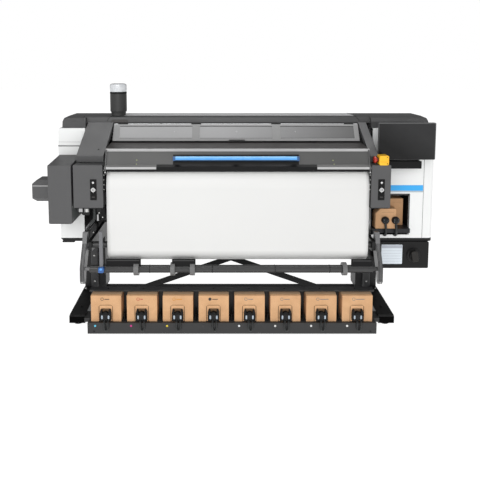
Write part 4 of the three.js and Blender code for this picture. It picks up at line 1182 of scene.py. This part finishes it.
def door():
    """The door with its lip and tags, a black strip below it that is painted shadow, and the blue handle
    over a pocket of painted shade.
    """
    d, h = Box("front_door"), Box("door_handle")
    notches = (h.x0 - 102, h.x1 + 110)
    kit = Kit("front_door_finish")
    outer = [(-302, 1144), DOOR_TOP, DOOR_FOOT, (-352, 1044), (-352, 1030), (-318, 1030)]
    inner = [(-318, 1035), (-347, 1035), (-347, 1041.4), (-331.9, 1052.6), (-303.3, 1136.2), (-298.5, 1141)]
    kit.add(prism("x", outer + inner, d.x0, d.x1), DOOR, 1.6, 3)
    for x in (h.x0 + 25, (h.x0 + h.x1) / 2, h.x1 - 25):
        kit.add(box(x - 14, x + 14, -349.5, -322, 1086, 1106), BLACK, 1)
    # rolled top edge, and a lip along the bottom outside the notches, both in a pale grey that is painted
    # highlight
    kit.add(rod("x", d.x0 + 1, d.x1 - 1, 6, -304, 1143, 24, 1), LIP_PAINTED_HIGHLIGHT)
    edge = [(-308, 1140.5), (-310.4, 1138), (-312.0, 1133), (-309.4, 1133)]
    kit.add(prism("x", edge, d.x0 + 1, d.x1 - 1), LIP_PAINTED_HIGHLIGHT, 0.4)
    nose = [(-338.5, 1056.5), (-355.0, 1044.0), (-355.0, 1030.0), (-351.0, 1030.0), (-337.4, 1052)]
    for x0, x1, lip, slope in ((d.x0 + 1, notches[0], LIP_PAINTED_HIGHLIGHT, DOOR), (*notches, BLACK, BLACK),
                               (notches[1], d.x1 - 1, LIP_PAINTED_HIGHLIGHT, DOOR)):
        kit.add(prism("x", nose, x0, x1), lambda c: lip if c.z < 1040 else slope, 0.5)
    # a black strip hangs below the lip: painted shadow under the door
    kit.add(box(d.x0 + 8, d.x1 - 8, -352, -345, 1014, 1032), BLACK, 1)
    corner = 22  # the painted shadow's rounded corners
    for x, way in ((d.x0 + 6, 1), (d.x1 - 1, -1)):
        curve = [(x + way * (corner - u), v) for u, v in arc(0, 994, corner, 90, 0, 6)]
        kit.add(prism("y", [(x, 1016), *curve], -352, -346), BLACK)
    # the pocket behind the handle: a black plate, painted shade of the recess and the gap round the handle
    low, high = 1052, 1114
    pocket = [(door_line(z) + off, z) for z, off in ((high, -1.2), (low, -1.2), (low, 3), (high, 3))]
    kit.add(prism("x", pocket, h.x0 - 2, h.x1 + 2), BLACK, 0.4)
    for x0, x1 in ((notches[0], h.x0 + 6), (h.x1 - 6, notches[1])):
        kit.add(box(x0, x1, -356.4, -350, 1027, 1041), BLACK, 0.8)
    for x, z in TAGS:
        kit.add(prism("y", rounded(x - 4, x + 4, z - 3, z + 3, 1.5), door_line(z) - 1.4, door_line(z) + 1),
                TAG, 0.2, 1)
    end = [(-300, 1150), (-316, 1140), (-343, 1056), (-357, 1046), (-357, 1000), (-330, 1000), (-318, 1058)]
    for x in (d.x0 + 3, d.x1 - 11):
        kit.add(prism("x", end, x, x + 8), DOOR_END, 1.5)
        kit.add(lathe([(0, 0), (3.2, 0), (3.2, 1.4), (0, 1.6)], (x + 4, -357, 1012), "-y", 16), KEY_WHITE)
    kit.add(rod("x", d.x0 + 20, d.x1 - 20, 4, -314, 1034, 16, 0.5), STEEL)
    kit.place("door", "grey_cover", ["front_door"])

    kit = Kit("door_handle_finish")
    section = [(h.y1, h.z0 + 2), (h.y1, h.z1 - 2), *arc(h.y0 + 9, h.z1 - 9, 9, 90, 180, 5),
               *arc(h.y0 + 9, h.z0 + 12, 9, 180, 270, 5)]

    # on the handle's blue, the top band is painted highlight and the lower band painted shade
    def band(c):
        if c.z > h.z1 - 9:
            return BLUE_PAINTED_HIGHLIGHT
        return BLUE_PAINTED_SHADE if c.z < h.z0 + 14 else BLUE

    kit.add(prism("x", section, h.x0 + 16, h.x1 - 16), band, 1.0, 2)
    for x0, x1 in ((h.x0, h.x0 + 17), (h.x1 - 17, h.x1)):
        kit.add(prism("x", section, x0, x1), BLUE_END, 4, 4)
    kit.place("door", "handle_blue", ["door_handle"])


# ---- towers and their keys ----
def towers():
    """The two towers beside the web, each with three keys."""
    for side, web_side in (("left", 1), ("right", -1)):
        node = f"{side}_tower"
        t = Box(node)
        keys = [Box(f"{side}_{k}_key") for k in ("upper", "jog", "lower")]

        kit = Kit(f"{node}_finish")
        kit.add(prism("y", rounded(t.x0, t.x1, t.z0, t.z1, 4, 3), t.y0, t.y1), GREY, 1.6, 3)
        panel = rounded(keys[0].x0 - 2, keys[0].x1 + 2, keys[2].z0 - 2, keys[0].z1 + 2, 3)
        kit.add(prism("y", panel, t.y0 - 0.5, t.y0 + 1), BLACK, 0.2, 1)
        edge = t.x1 if web_side > 0 else t.x0
        x0, x1 = sorted((edge, edge + web_side * 9))
        kit.add(box(x0, x1, t.y0 + 12, t.y1 - 4, t.z0 + 90, t.z1 - 4), BLACK, 1.5)
        for k in range(5):
            kit.bolt((x0 + x1) / 2, t.y0 + 12, t.z0 + 112 + 30 * k, "-y", 3.0)
        for x in (t.x0 + 14, t.x1 - 14):
            for z in (t.z0 + 14, t.z1 - 14):
                kit.bolt(x, t.y1, z, "y", 5, SATIN_BLACK)
        kit.add(box(t.x0 + 6, t.x1 - 6, t.y1 - 3, t.y1 - 0.5, t.z0 + 6, t.z1 - 6), FRAME, 0.5)
        kit.add(box(t.x0 + 3, t.x1 - 3, t.y0 + 10, t.y1 - 10, t.z0 - 8, t.z0 + 1), SATIN_BLACK, 2)
        kit.place("machine", "grey_cover", [node])
        for name, b in zip(("upper", "jog", "lower"), keys):
            kit = Kit(f"{side}_{name}_key_finish")
            y = b.y0
            if name == "jog":
                kit.add(lathe([(0, 0), (17.6, 0), (18, 1), (18, 17), (0, 17)], (b.x, b.y1, b.z), "-y", 40),
                        BLACK)
                kit.add(lathe([(7.6, 0), (12.6, 0), (12.6, 1.6), (12.0, 2.0), (8.2, 2.0), (7.6, 1.6)],
                              (b.x, y, b.z), "-y", 40), KEY_WHITE)
                kit.add(lathe([(0, 0), (4.6, 0), (4.6, 1.2), (0, 1.6)], (b.x, y, b.z), "-y", 24), KEY_WHITE)
                for k in range(4):
                    arrow = prism("y", [(b.x - 2.6, b.z + 14.8), (b.x + 2.6, b.z + 14.8),
                                        (b.x, b.z + 17.4)], y - 0.8, y)
                    kit.add(turned_about(arrow, (b.x, y, b.z), "y", 90 * k), KEY_WHITE)
            else:
                kit.add(prism("y", rounded(b.x0, b.x1, b.z0, b.z1, 3), y, b.y1), BLACK, 1.0)
                if name == "upper":
                    kit.add(prism("y", [(b.x - 8, b.z), (b.x, b.z - 8), (b.x + 8, b.z), (b.x, b.z + 8)],
                                  y - 0.5, y + 0.4),
                            KEY_WHITE, 0.2, 1)
                else:
                    kit.add(box(b.x - 9, b.x + 9, y - 0.4, y + 0.4, b.z - 2, b.z + 3), LEDGE, 0.2, 1)
            kit.place(f"{side}_{name}_key_body", "key_white" if name == "jog" else "black_plastic",
                      [f"{side}_{name}_key"])


LEFT_HOSE = [(-898, -312, 780), (-898, -318, 716), (-930, -300, 672), (-962, -255, 630), (-972, -170, 600),
             (-975, -60, 596), (-975, 60, 600)]


def side_drive_box():
    """The box outside the left arm, and the bracket and hose between it and the leg."""
    b = Box("side_drive_box")

    def detail(kit):
        x0, x1 = b.x0 + 121, b.x1
        kit.add(box(x1 - 0.4, x1 + 0.6, -330, -112, 700, 790), GREEN_GREY, 0.3, 1)
        for y in (-320, -125):
            for z in (706, 784):
                kit.bolt(x1 + 0.6, y, z, "x", 4)
        for z in (850, 862, 874, 886, 898):
            kit.add(box(x0 - 1.6, x0, -330, -300, z, z + 5), BLACK, 0.4, 1)
        # a pale grey line across the cap's front near its top: painted highlight
        kit.add(box(-1294, -1176, -277, -274.6, 905, 912), FRAME_GREY, 0.6, 1)
        kit.add(box(x0 + 6, x1 - 6, -338, -120, 684.5, 688), SATIN_BLACK, 1)
        for x in (x0 + 14, x1 - 14):
            kit.bolt(x, -300, 685, "-z", 5, SATIN_BLACK)

    dressed("side_drive_box", GREY, "grey_paint", 2.2, 3, extra=detail)
    kit = Kit("left_drive_bracket")
    plate = [(-1000, 784), (-1000, 752), (-975, 728), (-935, 728), (-925, 784)]
    kit.add(prism("y", plate, -296, -290), SATIN_BLACK, 1.2)
    kit.add(box(-960, -932, -318, -280, 752, 783), ALLOY, 2)
    kit.add(box(-996, -972, -312, -286, 752, 783), STEEL, 2)
    kit.hex_bolt(-943, -318, 764, "-y", 8)
    kit.add(rod("z", 700, 742, 7, -876, -318, 20, 2), STEEL)
    kit.add(tube(LEFT_HOSE, 9, 14), HOSE)
    kit.add(box(-910, -846, -306, -262, 722, 786), SATIN_BLACK, 3)
    kit.add(box(-858, -834, -312, -262, 700, 786), BLACK, 3)
    kit.bolt(-872, -306, 745, "-y", 5)
    kit.bolt(-848, -312, 720, "-y", 4)
    kit.place("machine", "bare_metal")


# ---- display and safety gear ----
def display():
    """The display, and the carrier that it turns on."""
    b = Box("control_display")
    kit = Kit("control_display_finish")
    kit.add(prism("y", rounded(b.x0, b.x1, b.z0, b.z1, 6), b.y0 + 1.5, b.y1), RIM, 1.5)
    kit.add(prism("y", rounded(b.x0 + 1.5, b.x1 - 6, b.z0 + 1.5, b.z1 - 6, 4), b.y0, b.y0 + 3), SCREEN_PAINTED_REFLECTION, 0.6)
    kit.add(prism("y", rounded(b.x0 + 40, b.x1 - 40, b.z0 + 30, b.z1 - 30, 10), b.y1 - 1, b.y1 + 9),
            SATIN_BLACK, 3)
    slots_row(kit, "y", b.y1 + 9, b.x0 + 90, b.x1 - 90, b.z0 + 130, b.z1 - 50, 6, SATIN_BLACK)
    kit.add(rod("x", b.x0 + 140, b.x1 - 140, 9, b.y1 + 8, b.z0 + 48, 24, 1), STEEL)
    kit.place("display", "screen_glass", ["control_display"])
    kit = Kit("display_carrier")
    kit.add(box(934, 1158, -222, -102, 1006, 1054), BLACK, 3)
    kit.place("machine", "black_plastic")


def safety_gear():
    """The emergency stop and its box, and the status beacon."""
    b = Box("estop_box")
    kit = Kit("estop_box_finish")
    kit.add(cad("estop_box"), YELLOW, 2.0, 3)
    # a darker orange strip near the box's foot: painted shade
    kit.add(box(b.x0 + 6, b.x1 - 6, b.y0 - 0.6, b.y0 + 0.4, b.z0 + 20, b.z0 + 22), GROOVE_PAINTED_SHADE, 0.2, 1)
    for z in (b.z0 + 10, b.z1 - 10):
        kit.bolt(b.x1 - 10, b.y0, z, "-y", 3, SATIN_BLACK)
    kit.add(rod("z", b.z0 - 2, b.z0 + 4, 9, b.x, b.y, 20, 1), BLACK)
    kit.place("machine", "safety_yellow", ["estop_box"])

    e = Box("estop_button")
    kit = Kit("estop_button_finish")
    x = e.x0 + 29
    mushroom = [(0, -9), (13, -9), (13, 12), (20, 15), (22, 18), (21.6, 23), (18, 27.4), (11, 28.6),
                (0, 29)]
    kit.add(lathe(mushroom, (x, e.y, e.z), "-x", 48), RED)
    kit.add(lathe([(13.1, 1), (14.0, 1), (14.0, 8), (13.1, 8)], (x, e.y, e.z), "-x", 32), SATIN_BLACK)
    kit.place("estop", "safety_red", ["estop_button"])

    body, lens = Box("beacon_body"), Box("beacon_lens")
    kit = Kit("beacon_body_finish")
    z0, z1 = body.z0, body.z1
    profile = [(0, z0), (48, z0), (48, z0 + 4), (46, z0 + 5), (46, z0 + 9), (49, z0 + 21), (55, z0 + 31)]
    profile += [(55, z1 - 22), (54, z1 - 20), (54, z1 - 17), (55, z1 - 15), (55, z1 - 2), (53, z1), (0, z1)]
    kit.add(lathe(profile, (body.x, body.y, 0), "z", 64), BEACON_GREY, 0.6)
    band = [(54.2, z1 - 13), (55.4, z1 - 13), (55.4, z1 - 1), (54.2, z1 - 1)]
    kit.add(lathe(band, (body.x, body.y, 0), "z", 64), BLACK)
    kit.place("machine", "black_plastic", ["beacon_body"])
    kit = Kit("beacon_lens_finish")
    z0, z1 = lens.z0, lens.z1
    kit.add(lathe([(0, z0), (53.5, z0), (54, z0 + 2), (54, z1 - 12), (51, z1 - 5), (40, z1 - 1.5), (0, z1)],
                  (lens.x, lens.y, 0), "z", 64), LENS)
    for k in range(28):
        a = 2 * math.pi * k / 28
        x, y = lens.x + 53.4 * math.cos(a), lens.y + 53.4 * math.sin(a)
        kit.add(rod("z", z0 + 4, z1 - 14, 1.5, x, y, 8, 0.4), LENS)
    kit.place("machine", "lens", ["beacon_lens"])


# ---- electrical box and service bay ----
SWITCH_TURN = -10  # how far the switch's grip stands off upright, in degrees


def electrical():
    """The lower electrical box with its label and vents, and the isolator switch."""
    b = Box("electrical_box")

    def detail(kit):
        front = b.y0
        kit.add(prism("y", rounded(b.x0 + 2, b.x0 + 141, b.z0 + 30, b.z1 - 20, 4), front - 3, front + 1),
                LABEL, 0.8)
        # a darker band across the panel's top: painted shadow
        kit.add(box(b.x0 + 4, b.x0 + 139, front - 3.8, front - 2.5, b.z1 - 44, b.z1 - 24), PANEL_RIBS_AND_PAINTED_SHADOW, 0.5)
        for k in range(5):
            z = b.z0 + 48 + k * 18
            kit.add(box(b.x0 + 10, b.x0 + 133, front - 3.6, front - 2.8, z, z + 1.4), PANEL_RIBS_AND_PAINTED_SHADOW, 0.3, 1)
        kit.add(box(b.x0 + 146, b.x0 + 148, front - 0.6, front + 1, b.z0 + 8, b.z1 - 4), BLACK, 0.2, 1)
        slots_row(kit, "x", b.x1, -80, 60, 350, 440, 7, FRAME)
        slots_row(kit, "y", b.y1, b.x0 + 40, b.x1 - 40, 350, 440, 7, FRAME)
        for k in range(3):
            kit.add(rod("z", b.z0 - 12, b.z0 + 1, 11, b.x0 + 60 + 50 * k, -20, 20, 2), BLACK)

    dressed("electrical_box", SHELL_DARK, "frame_paint", 2.5, 3, extra=detail)
    s = Box("power_switch")
    y = s.y1
    kit = Kit("power_switch_finish")
    kit.add(lathe([(0, 0), (45, 0), (46, 1), (46, 6), (43, 9), (33, 9.5), (31, 12), (30, 20), (0, 20)],
                  (s.x, y, s.z), "-y", 64), SATIN_BLACK)
    grip = prism("y", rounded(s.x - 21, s.x + 21, s.z - 36, s.z + 36, 10), y - 34, y - 18)
    kit.add(turned_about(grip, (s.x, y, s.z), "y", SWITCH_TURN), SWITCH_GRIP, 4, 3)
    mark = box(s.x - 1.2, s.x + 1.2, y - 34.4, y - 33.6, s.z + 16, s.z + 30)
    kit.add(turned_about(mark, (s.x, y, s.z), "y", SWITCH_TURN), DUCT, 0.2, 1)
    kit.place("isolator", "black_plastic", ["power_switch"])


def cartridges():
    """The two cartons in the service bay; the front one has two connectors with their hoses."""
    # the rear carton's darker kraft is painted shade
    for node, body, finish in (("front_cartridge", "bay_cartridge", KRAFT),
                               ("rear_cartridge", "machine", KRAFT_PAINTED_SHADE)):
        b = Box(node)

        def detail(kit):
            mid = (b.y0 + b.y1) / 2
            kit.add(box(b.x0 + 32, b.x1 - 1, mid - 0.8, mid + 0.8, b.z1 - 1, b.z1 + 0.3), KRAFT_DARK)
            kit.add(box(b.x1 - 0.5, b.x1 + 0.5, mid - 16, mid + 16, b.z0 + 4, b.z1 - 4), TAPE, 0.3, 1)
            kit.add(box(b.x0 + 40, b.x1 - 12, b.y0 - 0.4, b.y0 + 0.3, b.z1 - 26, b.z1 - 24), KRAFT_DARK)
            if node != "front_cartridge":
                return
            for x in (b.x0 + 62, b.x1 - 4):
                z = b.z0 + 58
                cap = [(0, 0), (24, 0), (25, 2), (25, 12), (21, 20), (14, 24), (0, 25)]
                kit.add(lathe(cap, (x, b.y0, z), "-y", 40), SATIN_BLACK)
                # two pale ovals on each connector: painted highlights
                for dx in (-11, 11):
                    highlight_oval = rounded(x + dx - 3, x + dx + 3, z - 9, z + 9, 2.9)
                    kit.add(prism("y", highlight_oval, b.y0 - 24, b.y0 - 12), CONNECTOR_PAINTED_HIGHLIGHT, 0.8)
                route = [(x, b.y0 - 12, z - 14), (x, b.y0 - 20, z - 44), (x, b.y0 - 20, z - 76),
                         (x, b.y0 - 12, z - 96),
                         (x, b.y0 + 20, z - 104), (x, b.y0 + 70, z - 104)]
                kit.add(tube(route, 8, 14, 5), HOSE)

        dressed(node, finish, "carton", 1.4, 2, body=body, extra=detail)


# ---- rolls, web and take-up ----
def roll(node, body, x0, x1, y, z, radius, core):
    """A roll of vinyl: a smooth face, ends that show its turns, and a board core."""
    kit = Kit(f"{node}_finish")
    turns = []
    steps = 18
    for k in range(steps):
        r = core + 4 + (radius - core - 5) * k / steps
        turns += [(r, 0.0), (r + 0.8, -0.7)]
    profile = [(core + 0.1, 2), (core + 0.1, -1.0), (core + 4, -1.0), *turns, (radius - 0.8, 0),
               (radius, 0.8)]
    length = x1 - x0
    other_end = [(r, length - h) for r, h in reversed(profile)]

    def choose(c):
        away = math.hypot(c.y - y, c.z - z)
        if abs(away - radius) < 1.0:
            return VINYL
        return KRAFT_DARK if away < core + 4.5 else VINYL_EDGE

    kit.add(lathe([*profile, *other_end], (x0, y, z), "x", 96), choose)
    return kit.place(body, "vinyl", [node])


def ring_of_bolts(kit, x, about, radius, axis):
    for k in range(6):
        a = math.pi / 3 * k
        kit.bolt(x, about.y + radius * math.cos(a), about.z + radius * math.sin(a), axis, 4)


def rolls():
    """The take-up roll and its spindle in front, the supply roll and its spindle behind."""
    r = Box("takeup_roll")
    roll("takeup_roll", "takeup", r.x0, r.x1, r.y, r.z, (r.z1 - r.z0) / 2, 42)
    s = Box("takeup_spindle")
    kit = Kit("takeup_spindle_finish")
    kit.add(cad("takeup_spindle"), TUBE, 0.8, 2)
    flange = [(20, 0), (52, 0), (56, 2), (56, 5), (46, 8), (24, 9), (20, 9)]
    for x, way, axis in ((r.x0, -1, "-x"), (r.x1, 1, "x")):
        kit.add(lathe(flange, (x + way * 1.2, s.y, s.z), axis, 48), BLACK)
        ring_of_bolts(kit, x + way * 8, s, 36, axis)
    kit.place("takeup", "steel_bar", ["takeup_spindle"])

    supply = Box("supply_roll")
    web = Box("media_web")
    radius = (supply.z1 - supply.z0) / 2
    roll("supply_roll", "supply", web.x0, web.x1, supply.y, supply.z, radius, 40)
    kit = Kit("supply_spindle_finish")
    kit.add(rod("x", supply.x0, supply.x1, 19, supply.y, supply.z, 40, 1.5), STEEL)
    hub = [(19, -30), (39, -30), (39, 1.5), (60, 2), (62, 4), (62, 8), (44, 14), (24, 15), (19, 15)]
    for x, way, axis in ((web.x0, -1, "-x"), (web.x1, 1, "x")):
        kit.add(lathe(hub, (x, supply.y, supply.z), axis, 48), BLACK)
        ring_of_bolts(kit, x + way * 9.5, supply, 50, axis)
    kit.place("supply", "steel_bar")


WEB_THICKNESS = 0.6
WEB_COLUMNS = 60
PLUMB_FROM = 900  # below this height the web hangs straight down
WRAP = 120  # how far it turns under the take-up roll, in degrees


def web_line(face, about):
    """The y and z of points down the web: off the platen's front, straight down, and under the roll."""
    lead = smooth_path([(0, -262, 1050), (0, -282, 1033), (0, -300, 1010), (0, -313, 985), (0, -322, 960),
                        (0, -328, 930), (0, face, PLUMB_FROM)], 4)
    line = [(p.y, p.z) for p in lead]
    line += [(face, PLUMB_FROM - (PLUMB_FROM - about.z) * k / 24) for k in range(1, 25)]
    r = about.y - face
    turns = [math.radians(180 + a) for a in range(5, WRAP + 1, 5)]
    return line + [(about.y + r * math.cos(a), about.z + r * math.sin(a)) for a in turns]


def media_web():
    """The web from the platen to the take-up roll, with slight waves where it hangs free."""
    b = Box("media_web")
    line = web_line(b.y0, Box("takeup_roll"))
    columns = WEB_COLUMNS
    shape = bmesh.new()
    rows = []
    for k, (y, z) in enumerate(line):
        row = []
        for i in range(columns + 1):
            t = i / columns
            x = b.x0 + (b.x1 - b.x0) * t
            free = max(0.0, min(1.0, (k - 20) / 8)) * max(0.0, min(1.0, (50 - k) / 12))
            ripple = 0.9 * math.sin(t * 7.1 + 0.6) * math.sin(k * 0.23) + 0.5 * math.sin(t * 17.0 + k * 0.11)
            row.append(shape.verts.new((x * MM, (y + ripple * free) * MM, z * MM)))
        rows.append(row)
    for low, high in zip(rows, rows[1:]):
        for i in range(columns):
            shape.faces.new((low[i], low[i + 1], high[i + 1], high[i]))
    bmesh.ops.recalc_face_normals(shape, faces=shape.faces)
    data = bpy.data.meshes.new("media_web_sheet")
    shape.to_mesh(data)
    shape.free()
    data.materials.append(WEB_PAINTED_SHADING)
    data.shade_smooth()
    made = bpy.data.objects.new("media_web_sheet", data)
    bpy.context.scene.collection.objects.link(made)
    thick = made.modifiers.new("thickness", "SOLIDIFY")
    thick.thickness = WEB_THICKNESS * MM
    thick.offset = 0.0
    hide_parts("media_web")
    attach(made, "machine")


BAR_Y, BAR_Z, BAR_RADIUS = -322, 394, 24  # the tension bar's round tube
BAR_ENDS = (-930, 830)
GUIDES = [(-828, -612, 392, 461), (-418, -272, 409, 460),
          (696, 828, 409, 458)]  # x0, x1, z0, z1 of each block


def tension():
    """The tension bar with its arms, rings and guide blocks, and the lever that locks it."""
    b, shaft, lever = Box("tension_bar"), Box("takeup_roll"), Box("lock_lever")

    def choose(c):
        if c.x < BAR_ENDS[0] - 10 or c.x > BAR_ENDS[1] + 20:
            return ARM_GREY
        if math.hypot(c.y - BAR_Y, c.z - BAR_Z) > BAR_RADIUS + 0.5:
            return RING_GREY
        return TUBE

    kit = Kit("tension_bar_finish")
    kit.add(cad("tension_bar"), choose, 1.2, 2)
    for x0, x1 in ((b.x0, b.x0 + 28), (b.x1 - 28, b.x1)):
        mid = (x0 + x1) / 2
        front = [(shaft.y - 35.5, shaft.z + 18), (BAR_Y - 23.5, BAR_Z + 12), (BAR_Y - 25.5, BAR_Z - 72)]
        back = [(y + 3, z) for y, z in reversed(front)]
        for dx, material in ((-11, BLACK), (-4, BLACK), (4, DUCT), (11, BLACK)):
            kit.add(prism("x", front + back, mid + dx - 1.6, mid + dx + 1.6), material, 0.4)
        kit.bolt(mid, BAR_Y - 25, BAR_Z - 80, "-y", 4)
    # the tube: a pale strip above, painted highlight, and a dark strip below, painted shade
    for z, material in ((BAR_Z + 8, DUCT), (BAR_Z - 14, BLACK)):
        y = BAR_Y - math.sqrt(BAR_RADIUS ** 2 - (z - BAR_Z) ** 2)
        kit.add(box(lever.x1 + 3, BAR_ENDS[1] - 3, y - 0.8, y + 2, z - 3, z + 4), material, 0.5)
    for x in (-560, -170, 220, 560):
        kit.add(rod("x", x, x + 5, BAR_RADIUS + 1.2, BAR_Y, BAR_Z, 32, 0.5), SATIN_BLACK)
    # the guide blocks between the bar and the web
    y0, y1 = BAR_Y - 14, BAR_Y - 3
    for x0, x1, z0, z1 in GUIDES:
        kit.add(box(x0, x1, y0, y1, z0, z1), BLACK, 2)
        kit.add(box(x0 + 8, x1 - 8, y0 - 1.2, y0 + 1, z1 - 11, z1 - 5), DUCT, 0.5)
    kit.place("tension_frame", "steel_bar", ["tension_bar"])

    kit = Kit("lock_lever_finish")
    x = (lever.x0 + lever.x1) / 2
    low, high = lever.z0, lever.z0 + (lever.x1 - lever.x0)
    kit.add(prism("z", rounded(x - 11, x + 11, lever.y1 - 14, lever.y1, 4), low + 2, lever.z1), LEVER_GREY,
            1.5, 2)
    kit.add(box(x - 1.2, x + 1.2, lever.y1 - 14.8, lever.y1 - 13, high + 10, lever.z1 - 16), ALLOY, 0.3, 1)
    kit.add(prism("y", rounded(lever.x0, lever.x1, low, high, 11), lever.y0, lever.y1), KNOB_BLUE, 4, 4)
    # a light blue patch on the knob's face: painted highlight
    kit.add(prism("y", rounded(x - 8, x + 8, low + 18, low + 31, 5), lever.y0 - 0.4, lever.y0 + 1),
            KNOB_PAINTED_HIGHLIGHT, 0.6)
    kit.place("lever", "handle_blue", ["lock_lever"])


# ---- the scene ----
camera()
studio()
floor()
stand()
ink_shelf()
for count in range(1, BOX_COUNT + 1):
    ink_box(count)
engine()
covers()
arms_and_ledge()
window()
door()
towers()
side_drive_box()
display()
safety_gear()
electrical()
cartridges()
rolls()
media_web()
tension()

bpy.context.view_layer.update()
